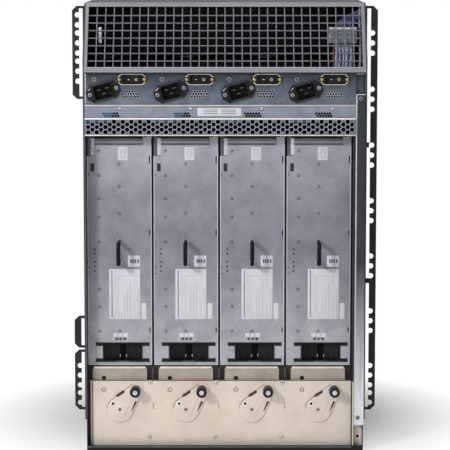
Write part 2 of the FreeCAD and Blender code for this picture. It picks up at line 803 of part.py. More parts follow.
def build_handle(tag, x):
    """Upright pull handle, a round-cornered hoop standing on the faceplate."""
    low, high = "handle_low", "handle_high"
    tip = "module_face - handle_reach"
    cut_in = "%s * handle_corner" % (1 - math.sqrt(0.5))
    bend = "handle_corner + handle_bar / 6"
    outline = [
        ("module_face", low),
        (tip + " + handle_corner", low),
        ("%s + %s" % (tip, cut_in), "%s + %s" % (low, cut_in)),
        (tip, low + " + handle_corner"),
        (tip, high + " - handle_corner"),
        ("%s + %s" % (tip, cut_in), "%s - %s" % (high, cut_in)),
        (tip + " + handle_corner", high),
        ("module_face", high),
        ("module_face", high + " - handle_bar"),
        ("%s + %s" % (tip, bend), high + " - handle_bar"),
        (tip + " + handle_bar", "%s - (%s)" % (high, bend)),
        (tip + " + handle_bar", "%s + %s" % (low, bend)),
        ("%s + %s" % (tip, bend), low + " + handle_bar"),
        ("module_face", low + " + handle_bar"),
    ]
    return plate("handle" + tag, "YZ_Plane", outline, x + " - handle_width / 2", "handle_width")


def build_grip(tag, x):
    """Black grip pocket with a scooped floor, filling the opening in the faceplate."""
    grip = x + " + grip_shift"
    front = "module_face - grip_proud"
    back = "module_face + grip_deep"
    wide = (grip + " - grip_half", grip + " + grip_half")
    body = box("grip_body" + tag, wide, (front, back), ("grip_low", "grip_high"))
    arms = []
    low_arm = ("grip_low", "grip_low + grip_arm")
    high_arm = ("grip_high - grip_arm", "grip_high")
    span = (grip + " - grip_arm_half", grip + " + grip_arm_half")
    for name, arm in (("low", low_arm), ("high", high_arm)):
        arms.append(box("grip_arm_" + name + tag, span, (front, "module_face + panel_sheet"), arm))
    scoop = DOC.addObject("Part::Prism", "grip_scoop" + tag)
    scoop.Polygon = 36
    scoop.setExpression("Circumradius", link("grip_scoop"))
    scoop.setExpression("Height", link("grip_high - grip_low - 2 * grip_wall"))
    scoop.setExpression("Placement.Base.x", link(grip))
    scoop.setExpression("Placement.Base.y", link("module_face + grip_deep - grip_wall - grip_scoop"))
    scoop.setExpression("Placement.Base.z", link("grip_low + grip_wall"))
    sides = box("grip_sides" + tag, (grip + " - grip_half + grip_wall", grip + " + grip_half - grip_wall"),
                ("module_face - grip_deep", back + " - grip_wall"), ("grip_low", "grip_high"))
    hollow = DOC.addObject("Part::Common", "grip_hollow" + tag)
    hollow.Base = scoop
    hollow.Tool = sides
    return cut("grip" + tag, fuse("grip_blank" + tag, [body] + arms), [hollow])


def lever_point(x, reach, angle):
    """Point at a reach and an angle from a lever's pivot, as two expressions."""
    return (
        "%s + (%s) * cos((%s) * 1 deg)" % (x, reach, angle),
        "pivot_z + (%s) * sin((%s) * 1 deg)" % (reach, angle),
    )


def arc_slot(name, x, through):
    """Slot in the lever panel that a drive pin sweeps as its lever turns."""
    steps = 3
    play = "(drive_radius + drive_play)"
    outer = []
    inner = []
    for k in range(steps + 1):
        angle = "drive_angle - arc_spare + (lever_turn + 2 * arc_spare) * %s" % (k / steps)
        outer.append(lever_point(x, "drive_reach + " + play, angle))
        inner.append(lever_point(x, "drive_reach - " + play, angle))
    depth = "(%s) - (%s)" % (through[1], through[0])
    return plate(name, "XZ_Plane", outer + inner[::-1], "-(%s)" % through[1], depth)


def build_lower_panel():
    """Lever panel with its pivot, pin and arc openings, and the guide behind it."""
    back = "lower_face + panel_sheet"
    through = ("lower_face - 1", back + " + 1")
    across = ("wall - half_core", "lower_right")
    blank = box("lower_blank", across, ("lower_face", back), ("floor_sheet", "lower_top"))
    tools = []
    posts = []
    for i in range(MODULES):
        x = module_x(i)
        tag = "_%d" % i
        tools.append(rod("pivot_hole" + tag, x, through, "pivot_z", "shaft_radius + shaft_play", 8, True))
        for name, angle in (("locked", "lever_angle"), ("open", "lever_angle + lever_turn")):
            px, pz = lever_point(x, "lever_reach", angle)
            tools.append(rod(name + "_hole" + tag, px, through, pz, "pin_radius + pin_play", 8, True))
        tools.append(arc_slot("arc" + tag, x, through))
        for side in ("-", "+"):
            px = "%s %s post_reach" % (x, side)
            name = "guide_post%s%d" % (tag, len(posts))
            posts.append(rod(name, px, ("plate_face - post_over", "guide_face"), "post_z", "post_radius", 6))
    part(cut("lower", blank, tools), "lower_panel")
    deep = ("guide_face", "guide_face + panel_sheet")
    sheet = box("guide_sheet_box", across, deep, ("floor_sheet", "shelf_low"))
    part(fuse("guide", [sheet] + posts), "lock_guide")


def build_lever(index):
    """One lock lever, its spring pin with a knob, and the lock plate that it drives."""
    tag = "_%d" % (index + 1)
    x = module_x(index)
    face = "lower_face - lever_gap - lever_sheet"
    back = "lower_face - lever_gap"
    panel_back = "lower_face + panel_sheet"
    tip_x, tip_z = lever_point(x, "lever_reach", "lever_angle")
    drive_x, drive_z = lever_point(x, "drive_reach", "drive_angle")
    swing = "acos((lever_round - lever_tip) / lever_reach)"
    flank = []
    corners = (("lever_round", 0, "+"), ("lever_tip", 1, "+"), ("lever_tip", 1, "-"), ("lever_round", 0, "-"))
    for reach, at_tip, sign in corners:
        turn = "(lever_angle * 1 deg %s %s)" % (sign, swing)
        fx = "%s + %s * cos(%s)" % (x, reach, turn)
        fz = "pivot_z + %s * sin(%s)" % (reach, turn)
        if at_tip:
            fx += " + lever_reach * cos(lever_angle * 1 deg)"
            fz += " + lever_reach * sin(lever_angle * 1 deg)"
        flank.append((fx, fz))
    web = plate("lever_web" + tag, "XZ_Plane", flank, "-(%s)" % back, "lever_sheet")
    keeper = (panel_back + " + lever_gap", panel_back + " + lever_gap + keeper_sheet")
    drive_end = "plate_face + plate_sheet + drive_over"
    blank = fuse("lever_blank" + tag, [
        web,
        rod("lever_disc" + tag, x, (face, back), "pivot_z", "lever_round", 22),
        rod("lever_nose" + tag, tip_x, (face, back), tip_z, "lever_tip", 16),
        rod("lever_shaft" + tag, x, (back, keeper[1]), "pivot_z", "shaft_radius", 8),
        rod("lever_keeper" + tag, x, keeper, "pivot_z", "keeper_radius", 8),
        rod("lever_drive" + tag, drive_x, (back, drive_end), drive_z, "drive_radius", 8),
    ])
    through = (face + " - 1", back + " + 1")
    bush = rod("lever_bush" + tag, tip_x, through, tip_z, "pin_radius + pin_play", 8, True)
    part(cut("lever" + tag, blank, [bush]), "lever" + tag)
    pin_y = (face + " - knob_gap", "lower_face - pin_short")
    knob = fuse("knob" + tag, [
        rod("knob_cap" + tag, tip_x, ("knob_end", face + " - knob_gap"), tip_z, "knob_radius", 16),
        rod("knob_core" + tag, tip_x, ("knob_end - knob_core_proud", "knob_end"), tip_z, "knob_core", 8),
        rod("knob_pin" + tag, tip_x, pin_y, tip_z, "pin_radius", 8),
    ])
    part(knob, "lock_pin" + tag)
    low, top = "plate_low", "plate_top"
    outline = [
        (x + " - plate_half", low),
        (x + " + plate_half", low),
        (x + " + plate_half", top + " - plate_corner"),
        (x + " + plate_half - plate_corner / 2", top),
        (x + " - plate_half + plate_corner / 2", top),
        (x + " - plate_half", top + " - plate_corner"),
    ]
    open_x, open_z = lever_point(x, "lever_reach", "lever_angle + lever_turn")
    blank = plate("plate_body" + tag, "XZ_Plane", outline, "-(plate_face + plate_sheet)", "plate_sheet")
    through = ("plate_face - 1", "plate_face + plate_sheet + 1")
    catch = rod("catch_hole" + tag, open_x, through, open_z + " + plate_drop", "pin_radius", 10, True)
    play = "(drive_radius + drive_play)"
    near = "%s - drive_reach * cos((180 - drive_angle) * 1 deg)" % x
    far = "%s - drive_reach" % x
    tools = [box("drive_slot" + tag, (far + " - " + play, near + " + " + play), through,
                 (drive_z + " - " + play, drive_z + " + " + play)), catch]
    for side in ("-", "+"):
        px = "%s %s post_reach" % (x, side)
        name = "left" if side == "-" else "right"
        reach = "(post_radius + post_play)"
        tools.append(box("post_slot_" + name + tag, (px + " - " + reach, px + " + " + reach), through,
                         ("post_z - 2 * " + reach, "post_z + plate_drop + 2 * " + reach)))
    part(cut("lock" + tag, blank, tools), "lock_plate" + tag)


def build_inlets():
    """Tilted power inlets, their blades, the switch bezels and the rockers."""
    blades = []
    bezels = []
    for i in range(MODULES):
        tag = "_%d" % (i + 1)
        x = module_x(i)
        flange = [
            ("-inlet_half", "-inlet_ear"), ("-inlet_waist", "-inlet_tall"),
            ("inlet_waist", "-inlet_tall"), ("inlet_half", "-inlet_ear"),
            ("inlet_half", "inlet_ear"), ("inlet_waist", "inlet_tall"),
            ("-inlet_waist", "inlet_tall"), ("-inlet_half", "inlet_ear"),
        ]
        body = plate("inlet_body" + tag, "XZ_Plane", flange, "0", "inlet_flange")
        sleeve = sketch_on(body, "inlet_sleeve" + tag, "XZ_Plane", "-inlet_depth")
        wide = ("-inlet_body_half", "inlet_body_half")
        polygon(sleeve, rect(wide, ("-inlet_body_tall", "inlet_body_tall")))
        pad(body, sleeve, "inlet_depth")
        mouth = sketch_on(body, "inlet_mouth" + tag, "XZ_Plane", "inlet_flange")
        wide = ("-inlet_socket_half", "inlet_socket_half")
        polygon(mouth, rect(wide, ("-inlet_socket_tall", "inlet_socket_tall")))
        well = body.newObject("PartDesign::Pocket", "inlet_well" + tag)
        well.Profile = mouth
        well.setExpression("Length", link("inlet_flange + inlet_socket_deep"))
        seat(body, x)
        part(body, "inlet" + tag)
        places = (("-blade_apart", "blade_high"), ("0", "-blade_low"), ("blade_apart", "blade_high"))
        for k, (bx, bz) in enumerate(places):
            blade = plate("blade%s_%d" % (tag, k), "XZ_Plane", rect(
                ("%s - blade_wide / 2" % bx, "%s + blade_wide / 2" % bx),
                ("%s - blade_thick / 2" % bz, "%s + blade_thick / 2" % bz),
            ), "-inlet_socket_deep", "blade_long")
            seat(blade, x)
            blades.append(blade)
        bezels.append(build_bezel(tag, x))
        part(build_rocker(tag, x), "rocker" + tag)
    part(group("blades", blades), "inlet_pins")
    part(group("bezels", bezels), "switch_bezels")


def seat(body, x):
    """Set an inlet piece on the panel at its tilt."""
    body.Placement = FreeCAD.Placement(V(), FreeCAD.Rotation(V(0, -1, 0), size("inlet_tilt")))
    body.setExpression("Placement.Base.x", link(x + " + inlet_shift"))
    body.setExpression("Placement.Base.y", link("rear_edge"))
    body.setExpression("Placement.Base.z", link("inlet_z"))


def build_bezel(tag, x):
    """Long six-sided frame around one rocker."""
    middle = x + " + switch_shift"
    outline = [
        (middle + " - bezel_half", "switch_z"),
        (middle + " - bezel_half + bezel_nose", "switch_z - bezel_tall"),
        (middle + " + bezel_half - bezel_nose", "switch_z - bezel_tall"),
        (middle + " + bezel_half", "switch_z"),
        (middle + " + bezel_half - bezel_nose", "switch_z + bezel_tall"),
        (middle + " - bezel_half + bezel_nose", "switch_z + bezel_tall"),
    ]
    blank = plate("bezel_body" + tag, "XZ_Plane", outline, "-rear_edge", "bezel_sheet")
    reach = "(rocker_half + rocker_play)"
    hole = box("bezel_hole" + tag, (middle + " - " + reach, middle + " + " + reach),
               ("rear_edge - bezel_sheet - 1", "rear_edge + 1"),
               ("switch_z - rocker_tall - rocker_side", "switch_z + rocker_tall + rocker_side"))
    return cut("bezel" + tag, blank, [hole])


def build_rocker(tag, x):
    """Rocker with two facets that meet in a shallow valley, leaning on its pivot."""
    outline = [
        ("-rocker_half", "rocker_back"), ("-rocker_half", "-rocker_front"), ("0", "-rocker_valley"),
        ("rocker_half", "-rocker_front"), ("rocker_half", "rocker_back"),
    ]
    body = plate("rocker_body" + tag, "XY_Plane", outline, "-rocker_tall", "2 * rocker_tall")
    body.Placement = FreeCAD.Placement(V(), FreeCAD.Rotation(V(0, 0, 1), size("rocker_lean")))
    body.setExpression("Placement.Base.x", link(x + " + switch_shift"))
    body.setExpression("Placement.Base.y", link("rear_edge"))
    body.setExpression("Placement.Base.z", link("switch_z"))
    return body


def rack_holes(side, tabs, units):
    """Slots of one flange, open towards the chassis, wherever the rack's grid of holes falls on a tab."""
    sign = "" if side == "right" else "-"
    room = size("slot_high")
    tools = []
    for unit in units:
        for number in range(3):
            drop = (unit - 1) * size("rack_unit") + size("rack_first") + number * size("rack_step")
            level = size("rack_top") - drop
            if not any(size(low) + room < level < size(high) - room for low, high in tabs):
                continue
            z = "rack_top - %d * rack_unit - rack_first - %d * rack_step" % (unit - 1, number)
            centre = "slot_end - slot_high / 2"
            name = "slot_%s_%d_%d" % (side, unit, number)
            span = ("gap_out - 1", centre) if side == "right" else ("-(%s)" % centre, "1 - gap_out")
            through = ("bracket_face - 1", "bracket_face + bracket_sheet + 1")
            tools.append(box(name, span, through, (z + " - slot_high / 2", z + " + slot_high / 2")))
            tools.append(rod(name + "_end", "%s(%s)" % (sign, centre), through, z, "slot_high / 2", 8, True))
    return tools


def build_bracket(side, tabs, windows, units):
    """Rack bracket: a leg on the side skin and slotted flange tabs."""
    right = side == "right"

    def across(low, high):
        return (low, high) if right else ("-(%s)" % high, "-(%s)" % low)

    leg = box("leg_" + side, across(SKIN_OUT, SKIN_OUT + " + bracket_sheet"),
              ("bracket_face", "bracket_face + bracket_leg"), ("bracket_low", "bracket_high"))
    pieces = [leg]
    sign = "" if right else "-"
    inner = "%s(%s + bracket_sheet)" % (sign, SKIN_OUT)
    outer = "%sbracket_edge" % sign
    waist = "%s(bracket_edge - bracket_corner)" % sign
    for i, (low, high) in enumerate(tabs):
        outline = [
            (inner, low), (waist, low), (outer, low + " + bracket_corner"),
            (outer, high + " - bracket_corner"), (waist, high), (inner, high),
        ]
        name = "tab_%s_%d" % (side, i)
        pieces.append(plate(name, "XZ_Plane", outline, "-(bracket_face + bracket_sheet)", "bracket_sheet"))
    tools = rack_holes(side, tabs, units)
    through = ("bracket_face - 1", "bracket_face + bracket_sheet + 1")
    for i, (low, high) in enumerate(windows):
        tall = (low + " + bracket_rim", high + " - bracket_rim")
        tools.append(box("gap_%s_%d" % (side, i), across("gap_in", "gap_out"), through, tall))
    part(cut("bracket_" + side, fuse("bracket_blank_" + side, pieces), tools), "rack_bracket_" + side)


def build_brackets():
    """Right bracket in one length and the left one in three tabs."""
    whole = [("bracket_low", "bracket_high")]
    thirds = [
        ("bracket_low", "first_bar_z"),
        ("first_bar_z", "second_bar_z"),
        ("second_bar_z", "bracket_high"),
    ]
    build_bracket("right", whole, thirds, (2, 4, 6, 8, 10, 12, 14, 15))
    tabs = [
        ("head_tab_low", "bracket_high"),
        ("middle_tab_low", "middle_tab_high"),
        ("bracket_low", "foot_tab_high"),
    ]
    build_bracket("left", tabs, tabs, (1, 2, 3, 14, 15))


def build_harness():
    """Connector block and wire bundle seen through the right end of the mesh."""
    across = ("block_left", "block_right")
    deep = ("block_face", "block_face + block_deep")
    part(box("block", across, deep, ("block_low", "block_high")), "harness_connector")
    front = "block_face + wires_set"
    wires = box("wires", ("wires_left", "wires_right"), (front, front + " + wires_thick"),
                ("hood_lip_z + panel_sheet", "block_low"))
    part(wires, "wire_harness")


def check_and_write():
    """Stop on any failed object, then write one file for each sub-part."""
    DOC.recompute()
    for obj in DOC.Objects:
        if "Invalid" in obj.State or "Error" in obj.State:
            raise RuntimeError("failed object %s: %s" % (obj.Name, obj.State))
    os.makedirs("parts", exist_ok=True)
    for obj in PARTS:
        shape = obj.Shape
        if shape.isNull() or not shape.isValid() or not shape.Solids:
            raise RuntimeError("bad shape in %s" % obj.Label)
        shape.exportStep("parts/%s.step" % obj.Label)


build_shell()
build_hood()
build_rear_panels()
build_bay()
build_inside()
for station in range(MODULES):
    build_module(station)
    build_lever(station)
build_lower_panel()
build_inlets()
build_brackets()
build_harness()
check_and_write()
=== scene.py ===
"""Looks of a tall rack router seen from the rear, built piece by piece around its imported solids.

Lengths are in millimetres in the chassis frame, unless a name or a comment says otherwise.
"""
import logging
import math
from dataclasses import dataclass, field, replace
from enum import Enum
from typing import Callable, Optional, Sequence

import bmesh
import bpy
import numpy as np
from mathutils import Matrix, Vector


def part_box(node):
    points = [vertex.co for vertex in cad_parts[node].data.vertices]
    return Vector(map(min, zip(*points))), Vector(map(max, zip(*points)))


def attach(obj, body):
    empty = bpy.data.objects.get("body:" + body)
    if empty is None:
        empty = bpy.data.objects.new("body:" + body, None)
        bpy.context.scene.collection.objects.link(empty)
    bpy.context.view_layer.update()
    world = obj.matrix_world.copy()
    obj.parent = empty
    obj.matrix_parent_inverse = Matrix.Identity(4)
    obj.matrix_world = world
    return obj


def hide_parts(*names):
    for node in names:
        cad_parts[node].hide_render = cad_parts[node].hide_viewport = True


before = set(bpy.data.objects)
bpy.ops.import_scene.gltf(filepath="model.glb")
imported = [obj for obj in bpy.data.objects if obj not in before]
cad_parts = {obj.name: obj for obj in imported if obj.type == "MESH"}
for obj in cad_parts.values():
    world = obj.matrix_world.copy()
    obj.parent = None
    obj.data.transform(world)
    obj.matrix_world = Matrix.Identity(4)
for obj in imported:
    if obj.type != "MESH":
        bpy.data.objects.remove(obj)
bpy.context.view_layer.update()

LOG = logging.getLogger("router")
MM = 0.001
STATIONS = 4
SHARP = math.radians(38)
MERGE_M = 1e-7

Pair = tuple[float, float]
Pairs = tuple[Pair, ...]
Triple = tuple[float, float, float]
Row = tuple[float, ...]
Field = Callable[[np.ndarray, np.ndarray, np.ndarray], np.ndarray]


class Facing(Enum):
    """Side of the chassis that a flat detail looks out from."""

    REAR = "rear"
    FRONT = "front"
    LEFT = "left"
    RIGHT = "right"
    TOP = "top"


class Tone(Enum):
    """Tones of the label stock, its print and the lamp lenses, as sRGB hex values."""

    WHITE = "d2d3da"
    PRINT = "96979f"
    GREEN = "35684f"
    RED = "7a2420"


def box_mm(node: str) -> tuple[np.ndarray, np.ndarray]:
    """Lowest and highest corner of a CAD node.

    Args:
        node: Name of the node.

    Returns:
        The two corners in millimetres.
    """
    low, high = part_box(node)
    return np.array(low) / MM, np.array(high) / MM


def linear(hex_value: str) -> tuple[float, float, float, float]:
    """Turn an sRGB hex value into a linear colour.

    Args:
        hex_value: Six hex digits.

    Returns:
        Red, green, blue and alpha.
    """
    parts = np.array([int(hex_value[k:k + 2], 16) / 255 for k in (0, 2, 4)])
    low = parts / 12.92
    high = ((parts + 0.055) / 1.055) ** 2.4
    return (*np.where(parts <= 0.04045, low, high).tolist(), 1.0)


def add_node(tree: bpy.types.NodeTree, kind: str, settings: Optional[dict] = None,
             links: Optional[dict] = None) -> bpy.types.Node:
    """Add one node with its settings and links.

    Args:
        tree: Node tree that takes the node.
        kind: Blender's name of the node type.
        settings: Properties by name and input values by socket name or number.
        links: Output sockets to join, by input socket name or number.

    Returns:
        The new node.
    """
    node = tree.nodes.new(kind)
    for key, value in (settings or {}).items():
        if isinstance(key, str) and hasattr(node, key):
            setattr(node, key, value)
        else:
            node.inputs[key].default_value = value
    for key, socket in (links or {}).items():
        tree.links.new(socket, node.inputs[key])
    return node


# How the two noises of a finish meet: the grain's share of the blend, the span of the blend that runs
# from dark to light, the span of the grain that runs from smooth to rough, and the depth of its bump.
GRAIN_SHARE = 0.35
BLEND_SPAN = (0.42, 0.92)
GRAIN_SPAN = (0.3, 0.7)
BUMP_MM = 0.2
PATCH_NOISE = {"Detail": 5.0, "Roughness": 0.62}
GRAIN_NOISE = {"Detail": 3.0, "Roughness": 0.7}
BEVEL_SAMPLES = 4


@dataclass(frozen=True)
class Lining:
    """A second colour on the part of a piece that lies past a plane; here it lays painted shade on inside
    faces.
    """

    colour: str
    axis: str
    limit_mm: float
    beyond: bool = True
    mirrored: bool = False


@dataclass(frozen=True)
class Fade:
    """Tints by height in millimetres, from low to high, that a colour is multiplied with."""

    stops: tuple[tuple[float, str], ...]


@dataclass(frozen=True)
class Finish:
    """A surface: its two colours, the size of its patches and grain, and how it takes light."""

    name: str
    light: str
    dark: str
    patch_mm: float = 40.0
    grain_mm: float = 1.2
    rough: Pair = (0.38, 0.52)
    metallic: float = 0.0
    bump: float = 0.12
    stretch: Triple = (1.0, 1.0, 1.0)
    edge_mm: float = 0.0
    glow: float = 0.0
    coat: float = 0.0
    gloss: float = 0.5
    lining: Optional[Lining] = None
    fade: Optional[Fade] = None

    def make(self) -> bpy.types.Material:
        """Build the node tree.

        Returns:
            The finished material.
        """
        made = bpy.data.materials.new(self.name)
        made.use_nodes = True
        tree = made.node_tree
        tree.nodes.clear()
        place = add_node(tree, "ShaderNodeTexCoord").outputs["Object"]
        drawn = add_node(tree, "ShaderNodeMapping", {"Scale": self.stretch}, {"Vector": place})
        patch, grain = (
            add_node(tree, "ShaderNodeTexNoise", {"Scale": 1 / (size * MM), **noise},
                     {"Vector": drawn.outputs[0]}).outputs["Fac"]
            for size, noise in ((self.patch_mm, PATCH_NOISE), (self.grain_mm, GRAIN_NOISE)))
        blend = add_node(tree, "ShaderNodeMath", {"operation": "MULTIPLY_ADD", 1: GRAIN_SHARE},
                         {0: grain, 2: patch})
        share = add_node(tree, "ShaderNodeMapRange", {1: BLEND_SPAN[0], 2: BLEND_SPAN[1]},
                         {0: blend.outputs[0]})
        pair = {"data_type": "RGBA", 6: linear(self.dark), 7: linear(self.light)}
        colour = add_node(tree, "ShaderNodeMix", pair, {0: share.outputs[0]}).outputs[2]
        if self.lining:
            colour = self._line(tree, place, colour)
        if self.fade:
            colour = self._fade(tree, place, colour)
        span = {1: GRAIN_SPAN[0], 2: GRAIN_SPAN[1], 3: self.rough[0], 4: self.rough[1]}
        rough = add_node(tree, "ShaderNodeMapRange", span, {0: grain})
        links = {"Height": grain}
        if self.edge_mm:
            eased = add_node(tree, "ShaderNodeBevel", {"samples": BEVEL_SAMPLES, "Radius": self.edge_mm * MM})
            links["Normal"] = eased.outputs[0]
        relief = add_node(tree, "ShaderNodeBump", {"Strength": self.bump, "Distance": BUMP_MM * MM}, links)
        settings = {"Metallic": self.metallic, "Coat Weight": self.coat, "Specular IOR Level": self.gloss}
        if self.glow:
            settings["Emission Color"] = linear(self.light)
            settings["Emission Strength"] = self.glow
        shader = add_node(tree, "ShaderNodeBsdfPrincipled", settings, {
            "Base Color": colour, "Roughness": rough.outputs[0], "Normal": relief.outputs[0]})
        add_node(tree, "ShaderNodeOutputMaterial", None, {"Surface": shader.outputs[0]})
        return made

    def _fade(self, tree: bpy.types.NodeTree, place: bpy.types.NodeSocket,
              colour: bpy.types.NodeSocket) -> bpy.types.NodeSocket:
        """Tint the colour by height.

        Args:
            tree: Node tree of the material.
            place: Object coordinates.
            colour: Colour before the tint.

        Returns:
            The socket with the tinted colour.
        """
        low, high = self.fade.stops[0][0], self.fade.stops[-1][0]
        axes = add_node(tree, "ShaderNodeSeparateXYZ", None, {0: place})
        height = add_node(tree, "ShaderNodeMapRange", {1: low * MM, 2: high * MM}, {0: axes.outputs["Z"]})
        tint = add_node(tree, "ShaderNodeValToRGB", None, {0: height.outputs[0]})
        marks = tint.color_ramp.elements
        for z, _ in self.fade.stops[1:-1]:
            marks.new((z - low) / (high - low))
        for mark, (_, shade) in zip(marks, self.fade.stops):
            mark.color = linear(shade)
        mixed = add_node(tree, "ShaderNodeMix", {"data_type": "RGBA", "blend_type": "MULTIPLY", 0: 1.0},
                         {6: colour, 7: tint.outputs[0]})
        return mixed.outputs[2]

    def _line(self, tree: bpy.types.NodeTree, place: bpy.types.NodeSocket,
              colour: bpy.types.NodeSocket) -> bpy.types.NodeSocket:
        """Change the colour past the lining's plane.

        Args:
            tree: Node tree of the material.
            place: Object coordinates.
            colour: Colour of the outer side.

        Returns:
            The socket with both colours.
        """
        lining = self.lining
        axes = add_node(tree, "ShaderNodeSeparateXYZ", None, {0: place})
        reach = axes.outputs[lining.axis]
        if lining.mirrored:
            reach = add_node(tree, "ShaderNodeMath", {"operation": "ABSOLUTE"}, {0: reach}).outputs[0]
        test = "GREATER_THAN" if lining.beyond else "LESS_THAN"
        past = add_node(tree, "ShaderNodeMath", {"operation": test, 1: lining.limit_mm * MM}, {0: reach})
        mixed = add_node(tree, "ShaderNodeMix", {"data_type": "RGBA", 7: linear(lining.colour)},
                         {0: past.outputs[0], 6: colour})
        return mixed.outputs[2]


# Painted shade: near-black laid on the inside faces of the shell, the plenum cover and the trays, where shade
# falls.
INSIDE_PAINTED_SHADE = "0d0d0f"

